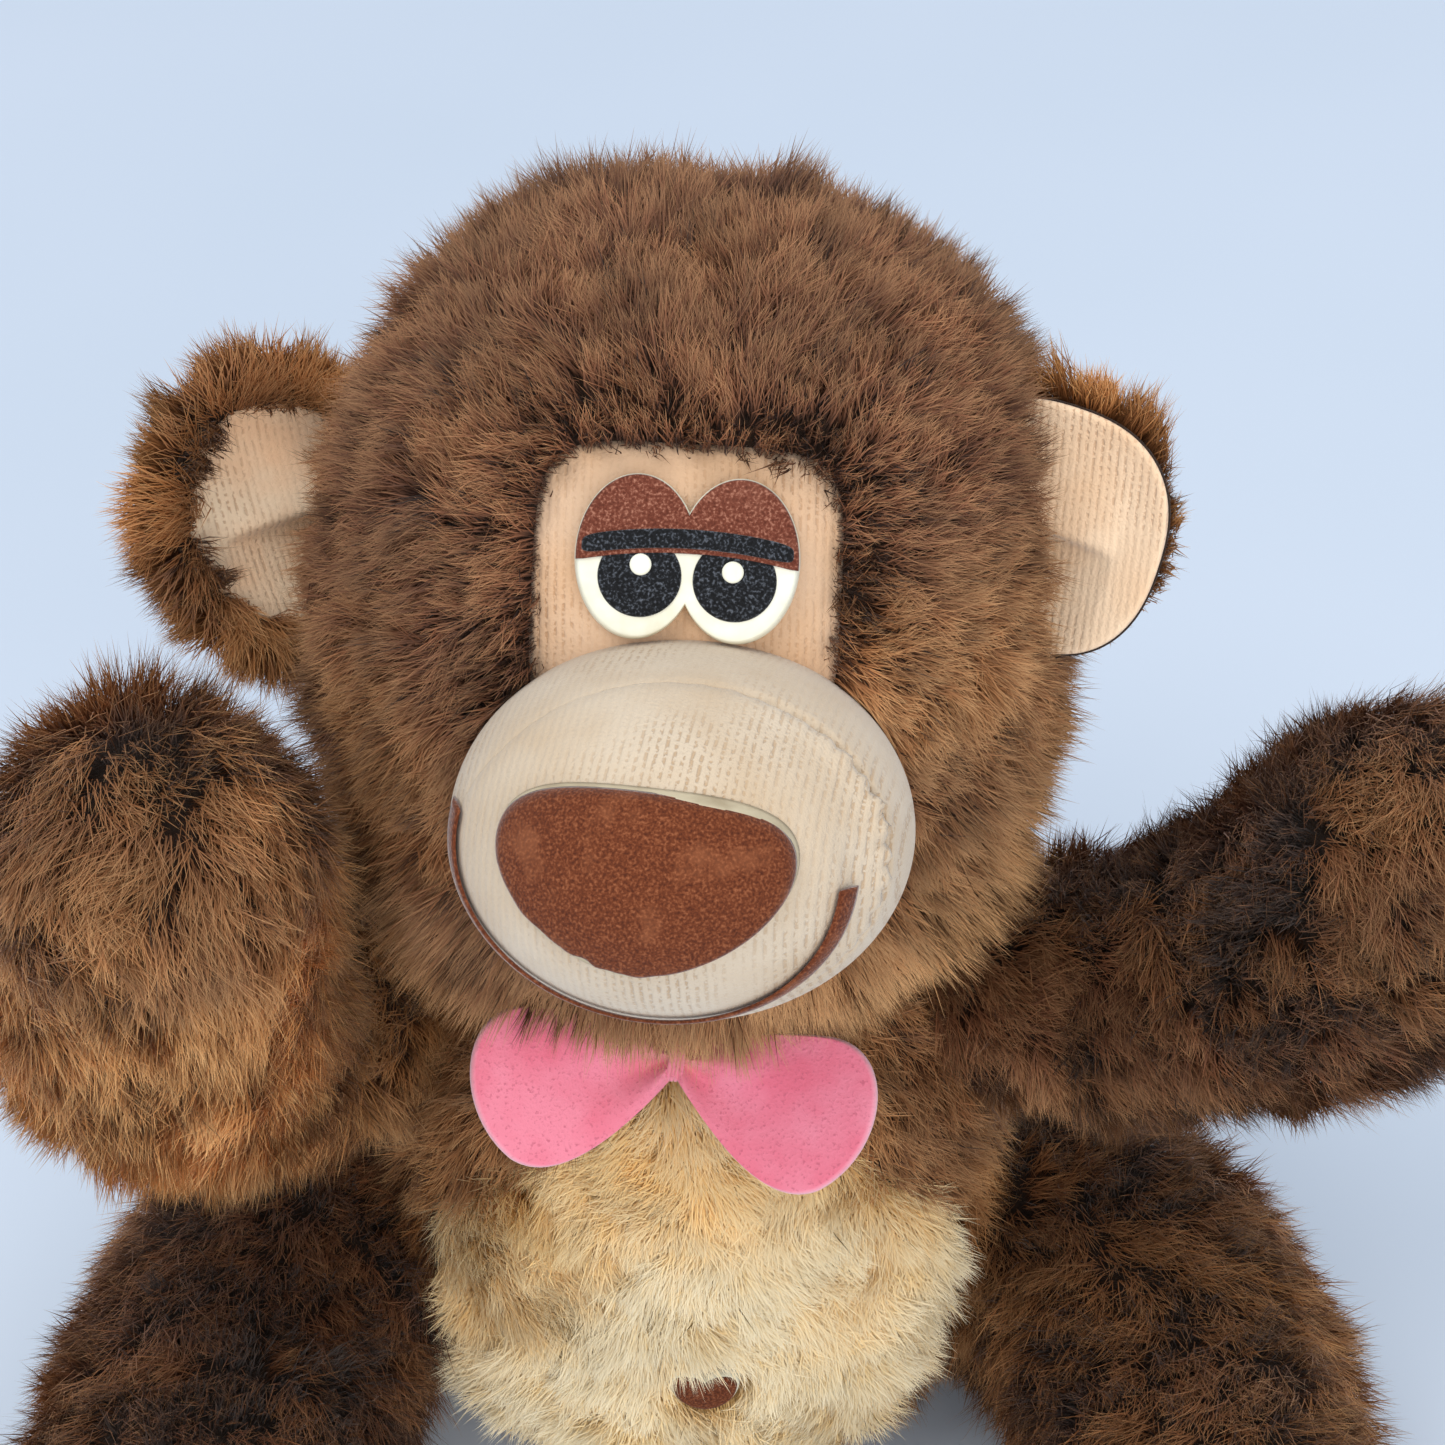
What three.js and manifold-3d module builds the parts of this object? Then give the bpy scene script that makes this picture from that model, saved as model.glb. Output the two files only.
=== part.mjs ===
// A seated plush monkey, about 300 mm tall: a long-pile fur skin over polyester stuffing, with a knitted
// face, a knitted muzzle, moulded plastic eyes, nose and belly button, two cupped ears and a felt bow.
// Units are millimetres. +Z is up, the toy faces -Y, and the origin is on the flat seat under its belly.
import * as THREE from "three";
import { mergeVertices } from "three/addons/utils/BufferGeometryUtils.js";
import Module from "manifold-3d";

const wasm = await Module();
wasm.setup();

// ---- driving dimensions ----
const PILE = 9; // depth of the fur coat, from the backing cloth to the tips
const GAP = 0.35; // room left between two pieces that touch
const STUFFING_GAP = 1.2; // room between a skin and the fibre inside it
const JOINT_ROOM = 2; // room kept all round a body that moves
const SWING_ROOM = 7; // more room, for each third of a limb's length, for its swing
const KNIT = 2.4; // thickness of the knitted fabric with its backing
const FELT = 2;
const PLATE = 1.8; // moulded plastic plates
const FLOCK = 0.6; // flock layer on the plates
const POST_RADIUS = 2.2;
const WASHER_RADIUS = 6;
const WASHER = 1.6;

const HEAD = { x: 73, y: 70, z: 81, centre: [0, 0, 220] };
const HEAD_TILT = { back: 20, turn: -2, roll: 2.5 }; // degrees: chin up, towards -X, and over to +X
const NECK_RADIUS = 20;

const FACE = { width: 52, low: -8, high: 40.5, corner: 9 }; // the knitted patch, seen from its front
const EYES = { lobeX: 8.8, lobeWidth: 21, lobeHeight: 28, z: 24, y: -60.2, slope: 16 };
const PUPIL = { x: 8.6, width: 13.3, height: 11.5, z: -4.8 };
const LASH = { width: 37, height: 3.1, z: 2.6 };

const MUZZLE = { x: 40, y: 44, z: 31.5, centre: [0, -72, -20.5] };
const MUZZLE_PLACE = { x: 6, turn: -9, pivotY: -45 }; // the soft muzzle has settled towards -X
const MUZZLE_SEAM = -92; // where the front panel meets the side gusset
const MUZZLE_BACK = -58; // where the gusset is sewn to the face
const NOSE = { width: 50, height: 30, z: 4, thick: 3 };
const MOUTH = { halfWidth: 37.5, drop: 28.5, strip: 3.4, thick: 0.8 };

const EAR = { y: 10, hollowY: 6.5, rim: 7 };
const EAR_ROOM = 4.5; // between an ear's root and the head, for the flap of the ear
const EAR_PLACES = {
  left: { x: 27, z: 30, at: [-82, 8, 11], lean: -16, turn: 34 },
  right: { x: 24, z: 29, at: [67.5, 2, 30], lean: 12, turn: -30 },
};

const BODY = { x: 68, y: 57, low: -8, high: 158, centreY: 4 };
const BELLY = { top: 130, topHalf: 12, wide: 78, wideHalf: 52, low: 14, lowHalf: 44 };
const BUTTON = { width: 15, z: 50, x: 2.5 };
const BOW = { span: 79, lobe: 28, waist: 8, centre: [-3, -62, 151], lean: 38 };

const ARMS = {
  left: {
    path: [[-64, 0, 120], [-88, -22, 127], [-99, -47, 158], [-94, -69, 211]],
    radii: [25, 31, 35, 33],
  },
  right: {
    path: [[63, 0, 122], [92, -9, 130], [119, -20, 149], [138, -31, 178]],
    radii: [26, 30, 34, 35],
  },
};
const LEGS = {
  left: {
    path: [[-54, 14, 41], [-86, -10, 41], [-99, -52, 40], [-100, -100, 43]],
    radii: [34, 40, 40, 42],
  },
  right: {
    path: [[54, 14, 40], [91, -9, 40], [104, -50, 39], [106, -100, 41]],
    radii: [33, 39.5, 39, 40],
  },
};

// ---- finishes ----
const finish = (color, roughness = 1) =>
  new THREE.MeshStandardMaterial({ color, roughness, metalness: 0 });
const brownFur = finish("#6b4a33");
const creamFur = finish("#e6d3a6");
const stuffing = finish("#f2f0ea");
const brushedKnit = finish("#e8cdb0", 0.95);
const plastic = finish("#e9eadc", 0.35);
const brownFlock = finish("#7a4a30");
const blackFlock = finish("#17181a");
const felt = finish("#f48aa6");

// ---- solids ----
const radians = THREE.MathUtils.degToRad;

/** A closed geometry as a solid that can be joined and cut. */
function solid(geometry) {
  const bare = geometry.index ? geometry.toNonIndexed() : geometry.clone();
  bare.deleteAttribute("normal");
  bare.deleteAttribute("uv");
  const merged = mergeVertices(bare, 1e-3);
  const triVerts = new Uint32Array(merged.index.array);
  const vertProperties = merged.attributes.position.array;
  const made = new wasm.Manifold(new wasm.Mesh({ numProp: 3, vertProperties, triVerts }));
  if (made.volume() > 0) return made;
  for (let i = 0; i < triVerts.length; i += 3) {
    [triVerts[i + 1], triVerts[i + 2]] = [triVerts[i + 2], triVerts[i + 1]];
  }
  return new wasm.Manifold(new wasm.Mesh({ numProp: 3, vertProperties, triVerts }));
}

/** A solid as a named mesh. */
function piece(name, made, material) {
  const { numProp, vertProperties, triVerts } = made.getMesh();
  if (numProp !== 3) throw new Error(name);
  const geometry = new THREE.BufferGeometry();
  geometry.setAttribute("position", new THREE.BufferAttribute(vertProperties, 3));
  geometry.setIndex(new THREE.BufferAttribute(triVerts, 1));
  const mesh = new THREE.Mesh(geometry, material);
  mesh.name = name;
  return mesh;
}

/** A sphere with its poles on Z, each direction moved to where warp puts it. */
function blob(across, along, warp) {
  const geometry = new THREE.SphereGeometry(1, across, along);
  geometry.rotateX(Math.PI / 2);
  const position = geometry.attributes.position;
  const direction = new THREE.Vector3();
  for (let i = 0; i < position.count; i += 1) {
    direction.fromBufferAttribute(position, i);
    position.setXYZ(i, ...warp(direction));
  }
  return solid(geometry);
}

const ellipsoid = (x, y, z, centre, across = 24, along = 14) =>
  blob(across, along, (d) => [centre[0] + x * d.x, centre[1] + y * d.y, centre[2] + z * d.z]);

/** A straight prism of a flat outline in X and Z, from y = front to y = back. */
function prism(shape, front, back, curveSegments = 12) {
  const geometry = new THREE.ExtrudeGeometry(shape, {
    depth: back - front,
    bevelEnabled: false,
    curveSegments,
  });
  geometry.rotateX(Math.PI / 2);
  geometry.translate(0, back, 0);
  return solid(geometry);
}

/** A cylinder along Y from front to back. */
function rod(radius, front, back, x, z, sides = 16) {
  const geometry = new THREE.CylinderGeometry(radius, radius, back - front, sides);
  geometry.translate(x, (front + back) / 2, z);
  return solid(geometry);
}

const box = (low, high) => {
  const geometry = new THREE.BoxGeometry(high[0] - low[0], high[1] - low[1], high[2] - low[2]);
  geometry.translate((low[0] + high[0]) / 2, (low[1] + high[1]) / 2, (low[2] + high[2]) / 2);
  return solid(geometry);
};

/** The solid after a matrix. */
const moved = (made, matrix) => made.transform(matrix.elements);

// ---- head ----
/** The head's outer surface drawn in by inset: an egg with a narrow crown and broad cheeks. */
const headForm = (inset, across = 24, along = 14) =>
  blob(across, along, (d) => {
    const egg = 1 - 0.07 * d.z - 0.02 * Math.max(d.z, 0) ** 2;
    return [(HEAD.x - inset) * d.x * egg, (HEAD.y - inset) * d.y, (HEAD.z - inset) * d.z];
  });

const muzzleForm = (inset, across = 20, along = 12) =>
  ellipsoid(MUZZLE.x - inset, MUZZLE.y - inset, MUZZLE.z - inset, MUZZLE.centre, across, along);

/** Where the muzzle sits on the head: turned about the middle of its seam. */
const muzzlePlace = new THREE.Matrix4()
  .makeTranslation(MUZZLE_PLACE.x, MUZZLE_PLACE.pivotY, 0)
  .multiply(new THREE.Matrix4().makeRotationZ(radians(MUZZLE_PLACE.turn)))
  .multiply(new THREE.Matrix4().makeTranslation(0, -MUZZLE_PLACE.pivotY, 0));

const muzzleRoom = moved(muzzleForm(-GAP), muzzlePlace);

/** The face patch's outline, grown by room: a rectangle with rounded corners and a low arch on top. */
function faceOutline(room) {
  const half = FACE.width / 2 + room;
  const top = FACE.high + room;
  const low = FACE.low - room;
  const shape = new THREE.Shape();
  shape.moveTo(-half, low);
  shape.lineTo(half, low);
  shape.lineTo(half, top - FACE.corner);
  shape.quadraticCurveTo(half, top - 2, half - FACE.corner, top - 1);
  shape.quadraticCurveTo(0, top + 2, -half + FACE.corner, top - 1);
  shape.quadraticCurveTo(-half, top - 2, -half, top - FACE.corner);
  return shape;
}

/** One oval as a closed flat shape. */
function oval(x, z, width, height) {
  const shape = new THREE.Shape();
  shape.absellipse(x, z, width / 2, height / 2, 0, Math.PI * 2);
  return shape;
}

/** Where a plate lies on the forehead: turned back by the slope of the face, at its height. */
function platePlace() {
  const turn = new THREE.Matrix4().makeRotationX(-radians(EYES.slope));
  return new THREE.Matrix4().makeTranslation(0, EYES.y, EYES.z).multiply(turn);
}

const eyeLobes = (front, back, room = 0) =>
  [-1, 1]
    .map((side) => oval(side * EYES.lobeX, 0, EYES.lobeWidth + room, EYES.lobeHeight + room))
    .map((shape) => prism(shape, front, back))
    .reduce((all, one) => all.add(one));

function eyePieces() {
  const place = platePlace();
  const flockFront = -PLATE - GAP - FLOCK;
  const flockBack = -PLATE - GAP;
  const post = (side) => rod(POST_RADIUS, -1, 12, side * EYES.lobeX, 0, 12);
  const plate = eyeLobes(-PLATE, 0).add(post(-1)).add(post(1));
  const lashLow = LASH.z - LASH.height / 2;
  const lid = eyeLobes(flockFront, flockBack, -0.8).intersect(
    box([-30, flockFront - 1, LASH.z + LASH.height / 2 + GAP], [30, flockBack + 1, 30]),
  );
  const lash = eyeLobes(flockFront, flockBack, -0.4).intersect(
    box([-LASH.width / 2, flockFront - 1, lashLow], [LASH.width / 2, flockBack + 1, lashLow + LASH.height]),
  );
  const pupil = (side) =>
    prism(oval(side * PUPIL.x, PUPIL.z + 1.4, PUPIL.width, PUPIL.height + 4), flockFront, flockBack)
      .intersect(box([-30, flockFront - 1, -30], [30, flockBack + 1, lashLow - GAP]))
      .subtract(rod(1.9, flockFront - 1, flockBack + 1, side * PUPIL.x, PUPIL.z + 3.4, 12));
  const washer = (side) =>
    rod(WASHER_RADIUS, 6, 6 + WASHER, side * EYES.lobeX, 0).subtract(
      rod(POST_RADIUS + GAP, 5, 9, side * EYES.lobeX, 0, 12),
    );
  const made = [
    ["eye_plate", plate, plastic],
    ["eyelid_flock", lid, brownFlock],
    ["lash_band_flock", lash, blackFlock],
    ["pupil_flock_left", pupil(-1), blackFlock],
    ["pupil_flock_right", pupil(1), blackFlock],
    ["eye_washer_left", washer(-1), plastic],
    ["eye_washer_right", washer(1), plastic],
  ];
  return made.map(([name, form, material]) => [name, moved(form, place), material]);
}

/** Room for the posts and washers of the eyes, in the cloth and in the stuffing. */
function fixingRoom() {
  return [-1, 1]
    .map((side) =>
      rod(POST_RADIUS + GAP, -3, 14, side * EYES.lobeX, 0, 12)
        .add(rod(WASHER_RADIUS + 0.6, 5.2, 9, side * EYES.lobeX, 0)),
    )
    .map((room) => moved(room, platePlace()))
    .reduce((all, one) => all.add(one));
}

/** The nose's outline: a flat arc on top, full sides, and a soft point below. */
function noseOutline(room) {
  const half = NOSE.width / 2 + room;
  const top = NOSE.height / 2 + room;
  const shape = new THREE.Shape();
  shape.moveTo(0, -top);
  shape.bezierCurveTo(half * 0.45, -top * 0.95, half, -top * 0.35, half, top * 0.25);
  shape.bezierCurveTo(half, top * 0.75, half * 0.62, top, 0, top);
  shape.bezierCurveTo(-half * 0.62, top, -half, top * 0.75, -half, top * 0.25);
  shape.bezierCurveTo(-half, -top * 0.35, -half * 0.45, -top * 0.95, 0, -top);
  return shape;
}

/** The smile: a strip that hangs in an arc below the nose, as a flat outline. */
function mouthOutline() {
  const { halfWidth, drop, strip } = MOUTH;
  const shape = new THREE.Shape();
  shape.absellipse(0, 3, halfWidth, drop, Math.PI * 1.02, Math.PI * 1.98, false);
  shape.absellipse(0, 3, halfWidth - strip, drop - strip, Math.PI * 1.98, Math.PI * 1.02, true);
  shape.closePath();
  return shape;
}

function muzzlePieces() {
  const [, , z] = MUZZLE.centre;
  const shell = muzzleForm(0).subtract(muzzleForm(KNIT));
  const tip = MUZZLE.centre[1] - MUZZLE.y;
  const nosePost = rod(POST_RADIUS, tip - 1, tip + 16, 0, z + NOSE.z, 12);
  const postHole = rod(POST_RADIUS + GAP, tip - 20, tip + 18, 0, z + NOSE.z, 12);
  const front = shell.intersect(box([-60, -130, -80], [60, MUZZLE_SEAM - GAP / 2, 40])).subtract(postHole);
  const gusset = shell.intersect(box([-60, MUZZLE_SEAM + GAP / 2, -80], [60, MUZZLE_BACK, 40]));
  const washerAt = tip + 8;
  const washerRoom = rod(WASHER_RADIUS + 0.6, washerAt - 0.6, washerAt + WASHER + 0.6, 0, z + NOSE.z);
  const core = muzzleForm(KNIT + STUFFING_GAP, 16, 8)
    .subtract(postHole)
    .subtract(washerRoom)
    .subtract(box([-60, -60, -80], [60, 0, 40]));
  const washer = rod(WASHER_RADIUS, washerAt, washerAt + WASHER, 0, z + NOSE.z).subtract(postHole);
  const noseShape = prism(noseOutline(0), -150, -100, 6);
  const nosePlace = new THREE.Matrix4().makeTranslation(0, 0, z + NOSE.z);
  const nose = muzzleForm(-GAP - NOSE.thick)
    .subtract(muzzleForm(-GAP))
    .intersect(moved(noseShape, nosePlace))
    .add(nosePost);
  const mouthPlace = new THREE.Matrix4().makeTranslation(0, 0, z);
  const mouth = muzzleForm(-GAP - MOUTH.thick)
    .subtract(muzzleForm(-GAP))
    .intersect(moved(prism(mouthOutline(), -150, MUZZLE_SEAM + 24, 12), mouthPlace));
  const made = [
    ["muzzle_front", front, brushedKnit],
    ["muzzle_gusset", gusset, brushedKnit],
    ["muzzle_stuffing", core, stuffing],
    ["nose_plate", nose, brownFlock],
    ["nose_washer", washer, plastic],
    ["mouth_strip", mouth, brownFlock],
  ];
  return made.map(([name, form, material]) => [name, moved(form, muzzlePlace), material]);
}

function headPieces() {
  const window = prism(faceOutline(GAP), -90, -20, 6);
  const neck = solid(new THREE.CylinderGeometry(NECK_RADIUS, NECK_RADIUS, 60, 20).rotateX(Math.PI / 2));
  const neckHole = moved(neck, new THREE.Matrix4().makeTranslation(0, 12, -HEAD.z));
  const fur = headForm(0)
    .subtract(headForm(PILE))
    .subtract(window)
    .subtract(muzzleRoom)
    .subtract(neckHole);
  const fixings = fixingRoom();
  const patch = headForm(PILE - KNIT)
    .subtract(headForm(PILE))
    .intersect(prism(faceOutline(0), -90, -20, 6))
    .subtract(muzzleRoom)
    .subtract(fixings);
  const core = headForm(PILE + STUFFING_GAP, 18, 10).subtract(muzzleRoom).subtract(fixings);
  return [
    ["head_fur", fur, brownFur],
    ["face_patch", patch, brushedKnit],
    ["head_stuffing", core, stuffing],
    ...eyePieces(),
    ...muzzlePieces(),
  ];
}

/**
 * An ear lies in its own X-Z plane: a thick cupped disc, its hollow facing forwards, cut to the curve of
 * the head at its root.
 */
function earPieces(side, place) {
  const { x, z } = place;
  const headSide = moved(headForm(-EAR_ROOM, 20, 12), earPlace(place).invert());
  const hollow = (room, front = 0, wider = 0) =>
    ellipsoid(
      x - EAR.rim - room + wider,
      EAR.hollowY - room,
      z - EAR.rim - room + wider,
      [0, 1 - EAR.y - front, 0],
      18,
      10,
    );
  const fur = ellipsoid(x, EAR.y, z, [0, 0, 0], 20, 12).subtract(hollow(0)).subtract(headSide);
  const lining = hollow(GAP).subtract(hollow(0, KNIT, 3)).subtract(headSide);
  return [
    [`ear_fur_${side}`, fur, brownFur],
    [`inner_ear_${side}`, lining, brushedKnit],
  ];
}

// ---- limbs ----
/**
 * A limb along a curve: a turned profile with round ends, then bent. inset draws its surface in, and a
 * negative one lets it out.
 */
function limb({ path, radii }, inset, sides = 14, steps = 7, capSteps = 3) {
  const curve = new THREE.CatmullRomCurve3(path.map((p) => new THREE.Vector3(...p)));
  const length = curve.getLength();
  const radiusAt = (t) => {
    const place = t * (radii.length - 1);
    const index = Math.min(Math.floor(place), radii.length - 2);
    return THREE.MathUtils.lerp(radii[index], radii[index + 1], place - index) - inset;
  };
  const profile = [];
  for (let i = 0; i < capSteps; i += 1) {
    const angle = (-Math.PI / 2) * (1 - i / capSteps);
    profile.push(new THREE.Vector2(radiusAt(0) * Math.cos(angle), radiusAt(0) * Math.sin(angle)));
  }
  for (let i = 0; i <= steps; i += 1) {
    profile.push(new THREE.Vector2(radiusAt(i / steps), (length * i) / steps));
  }
  for (let i = 1; i <= capSteps; i += 1) {
    const angle = ((Math.PI / 2) * i) / capSteps;
    profile.push(new THREE.Vector2(radiusAt(1) * Math.cos(angle), length + radiusAt(1) * Math.sin(angle)));
  }
  profile[0].x = 0;
  profile.at(-1).x = 0;
  const geometry = new THREE.LatheGeometry(profile, sides);
  const frames = curve.computeFrenetFrames(steps);
  const position = geometry.attributes.position;
  const point = new THREE.Vector3();
  for (let i = 0; i < position.count; i += 1) {
    const along = position.getY(i);
    const t = THREE.MathUtils.clamp(along / length, 0, 1);
    const ring = Math.round(t * steps);
    const beyond = along - t * length;
    point
      .copy(curve.getPointAt(t))
      .addScaledVector(frames.tangents[ring], beyond)
      .addScaledVector(frames.normals[ring], position.getX(i))
      .addScaledVector(frames.binormals[ring], position.getZ(i));
    position.setXYZ(i, point.x, point.y, point.z);
  }
  return solid(geometry);
}

/** Everything above the surface that the toy sits on. */
const aboveFloor = (made) => made.intersect(box([-300, -300, 0], [300, 300, 400]));

/** A limb's fur skin, open where it is sewn on, and the stuffing inside it. */
function limbPieces(kind, side, form) {
  const from = new THREE.Vector3(...form.path[0]);
  const towards = new THREE.Vector3(...form.path[1]).sub(from).normalize();
  const mouth = solid(new THREE.CylinderGeometry(11, 11, form.radii[0] * 1.6, 14));
  const lay = new THREE.Matrix4().makeRotationFromQuaternion(
    new THREE.Quaternion().setFromUnitVectors(new THREE.Vector3(0, 1, 0), towards),
  );
  const at = from.clone().addScaledVector(towards, -form.radii[0]);
  const opening = moved(mouth, new THREE.Matrix4().makeTranslation(at.x, at.y, at.z).multiply(lay));
  const skin = aboveFloor(limb(form, 0)).subtract(limb(form, PILE)).subtract(opening);
  return [
    [`${kind}_fur_${side}`, skin, brownFur],
    [`${kind}_stuffing_${side}`, limb(form, PILE + 2 * STUFFING_GAP, 11, 5, 2), stuffing],
  ];
}

// ---- body ----
/** The body drawn in by inset: a full barrel, widest low down and rounded over the shoulders. */
const bodyForm = (inset, across = 24, along = 14) => {
  const middle = (BODY.low + BODY.high) / 2;
  const tall = (BODY.high - BODY.low) / 2 - inset;
  return blob(across, along, (d) => {
    const full = (Math.abs(d.z) ** 3 + (1 - d.z * d.z) ** 1.5) ** (-1 / 3);
    const pear = 1 - 0.07 * d.z;
    const x = (BODY.x - inset) * d.x * full * pear;
    const y = BODY.centreY + (BODY.y - inset) * d.y * full * pear;
    return [x, y, middle + tall * d.z * full * 0.985];
  });
};

/** The belly's outline, grown by room: a rounded point under the chin that opens to full hips. */
function bellyOutline(room) {
  const { top, topHalf, wide, wideHalf, low, lowHalf } = BELLY;
  const shape = new THREE.Shape();
  shape.moveTo(0, top + room);
  shape.bezierCurveTo(topHalf, top + room, wideHalf + room, wide + 34, wideHalf + room, wide);
  shape.bezierCurveTo(wideHalf + room, wide - 34, lowHalf + room, low - room, 0, low - room);
  shape.bezierCurveTo(-lowHalf - room, low - room, -wideHalf - room, wide - 34, -wideHalf - room, wide);
  shape.bezierCurveTo(-wideHalf - room, wide + 34, -topHalf, top + room, 0, top + room);
  return shape;
}

/** The belly button: two small lobes above and one arc below. */
function buttonOutline() {
  const half = BUTTON.width / 2;
  const shape = new THREE.Shape();
  shape.moveTo(0, 2.4);
  shape.bezierCurveTo(1.6, 5.4, half, 5.6, half, 2);
  shape.bezierCurveTo(half, -3, 3.4, -6, 0, -6);
  shape.bezierCurveTo(-3.4, -6, -half, -3, -half, 2);
  shape.bezierCurveTo(-half, 5.6, -1.6, 5.4, 0, 2.4);
  return shape;
}

/** The bow: one flat butterfly of felt, two round lobes from a narrow waist. */
function bowOutline() {
  const half = BOW.span / 2;
  const shape = new THREE.Shape();
  shape.moveTo(0, BOW.waist / 2);
  shape.bezierCurveTo(half * 0.25, 4, half * 0.4, BOW.lobe * 0.42, half * 0.72, BOW.lobe * 0.44);
  shape.bezierCurveTo(half * 1.06, BOW.lobe * 0.42, half * 1.05, -BOW.lobe * 0.3, half * 0.74, -BOW.lobe * 0.6);
  shape.bezierCurveTo(half * 0.5, -BOW.lobe * 0.78, half * 0.22, -BOW.lobe * 0.4, 0, -BOW.waist / 2);
  shape.bezierCurveTo(-half * 0.22, -BOW.lobe * 0.4, -half * 0.5, -BOW.lobe * 0.78, -half * 0.74, -BOW.lobe * 0.6);
  shape.bezierCurveTo(-half * 1.05, -BOW.lobe * 0.3, -half * 1.06, BOW.lobe * 0.42, -half * 0.72, BOW.lobe * 0.44);
  shape.bezierCurveTo(-half * 0.4, BOW.lobe * 0.42, -half * 0.25, 4, 0, BOW.waist / 2);
  return shape;
}

function bodyPieces(roomForLimbs) {
  const outer = aboveFloor(bodyForm(0));
  const inner = bodyForm(PILE);
  const front = -90;
  const coat = outer.subtract(inner).subtract(roomForLimbs);
  const fur = coat.subtract(prism(bellyOutline(GAP), front, BODY.centreY, 8));
  const buttonAt = new THREE.Matrix4().makeTranslation(BUTTON.x, 0, BUTTON.z);
  const surface = BODY.centreY - BODY.y + PILE;
  const plateFront = surface - 5.5;
  const post = rod(POST_RADIUS, plateFront, surface + 10, 0, 0, 12);
  const button = moved(prism(buttonOutline(), plateFront, plateFront + PLATE, 6).add(post), buttonAt);
  const buttonRoom = moved(
    rod(BUTTON.width / 2 + 1, front, plateFront + PLATE + GAP, 0, 0)
      .add(rod(POST_RADIUS + GAP, front, surface + 14, 0, 0, 12)),
    buttonAt,
  );
  const washerAt = surface + 5;
  const washer = moved(
    rod(WASHER_RADIUS, washerAt, washerAt + WASHER, 0, 0).subtract(
      rod(POST_RADIUS + GAP, washerAt - 2, washerAt + 4, 0, 0, 12),
    ),
    buttonAt,
  );
  const washerRoom = moved(rod(WASHER_RADIUS + 0.6, washerAt - 0.6, washerAt + WASHER + 0.6, 0, 0), buttonAt);
  const belly = coat.intersect(prism(bellyOutline(0), front, BODY.centreY - 1, 8)).subtract(buttonRoom);
  const core = bodyForm(PILE + STUFFING_GAP, 18, 10)
    .subtract(roomForLimbs)
    .subtract(buttonRoom)
    .subtract(washerRoom);
  return [
    ["body_fur", fur, brownFur],
    ["belly_fur", belly, creamFur],
    ["body_stuffing", core, stuffing],
    ["belly_button", button, brownFlock],
    ["belly_button_washer", washer, plastic],
  ];
}

function bowPieces() {
  const lean = radians(-BOW.lean);
  const place = new THREE.Matrix4()
    .makeTranslation(...BOW.centre)
    .multiply(new THREE.Matrix4().makeRotationX(lean))
    .multiply(new THREE.Matrix4().makeRotationY(radians(4)));
  const bow = prism(bowOutline(), -FELT, 0, 8);
  const half = BOW.waist / 2 + 2;
  const loop = box([-2.2, -FELT - 1.6, -half - 1.4], [2.2, 1.6, half + 1.4]);
  const hole = box([-3, -FELT - GAP, -half], [3, GAP, half]);
  return [
    ["felt_bow", moved(bow, place), felt],
    ["bow_stitch", moved(loop.subtract(hole), place), felt],
  ];
}

// ---- assembly ----
const headPlace = new THREE.Matrix4()
  .makeTranslation(...HEAD.centre)
  .multiply(new THREE.Matrix4().makeRotationY(radians(HEAD_TILT.roll)))
  .multiply(new THREE.Matrix4().makeRotationZ(radians(HEAD_TILT.turn)))
  .multiply(new THREE.Matrix4().makeRotationX(radians(-HEAD_TILT.back)));

function earPlace({ at, lean, turn }) {
  return new THREE.Matrix4()
    .makeTranslation(...at)
    .multiply(new THREE.Matrix4().makeRotationY(radians(lean)))
    .multiply(new THREE.Matrix4().makeRotationZ(radians(turn)));
}

/** The socket that the body leaves for a limb: wider the further the limb swings from its pivot. */
const limbRoom = ({ path, radii }) =>
  limb({ path, radii: radii.map((radius, i) => radius + JOINT_ROOM + SWING_ROOM * i) }, 0, 14, 5, 3);

const headRoom = moved(headForm(-JOINT_ROOM - 1, 24, 14), headPlace);
const bodyRoom = [...Object.values(ARMS), ...Object.values(LEGS)]
  .map(limbRoom)
  .reduce((all, one) => all.add(one), headRoom);

const toy = new THREE.Group();

const head = new THREE.Group();
head.applyMatrix4(headPlace);
for (const made of headPieces()) head.add(piece(...made));
for (const [side, place] of Object.entries(EAR_PLACES)) {
  const ear = new THREE.Group();
  ear.applyMatrix4(earPlace(place));
  for (const made of earPieces(side, place)) ear.add(piece(...made));
  head.add(ear);
}
toy.add(head);

for (const made of bodyPieces(bodyRoom)) toy.add(piece(...made));
for (const made of bowPieces()) toy.add(piece(...made));
for (const [side, form] of Object.entries(ARMS)) {
  for (const made of limbPieces("arm", side, form)) toy.add(piece(...made));
}
for (const [side, form] of Object.entries(LEGS)) {
  for (const made of limbPieces("leg", side, form)) toy.add(piece(...made));
}

export default toy;
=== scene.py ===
"""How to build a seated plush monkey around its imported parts, one piece at a time.

Everything is worked out in millimetres as arrays of points. A form is a formula that turns directions or
places into points, a closed surface is a stack of rings between two end points, and a fur coat is a
set of fine kite-shaped strands that grow from a skin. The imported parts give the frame, and every new
piece is laid where its part is.
"""

# %% [markdown]
# # The frame
# A plush toy is cut, sewn, stuffed and brushed, so what the eye meets is cloth and fibre, never the plain
# solids that carry its motion. The imported model is loaded first, and its parts are laid in world space.

import itertools
import math

import bpy
import numpy as np
from mathutils import Matrix, Vector


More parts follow.
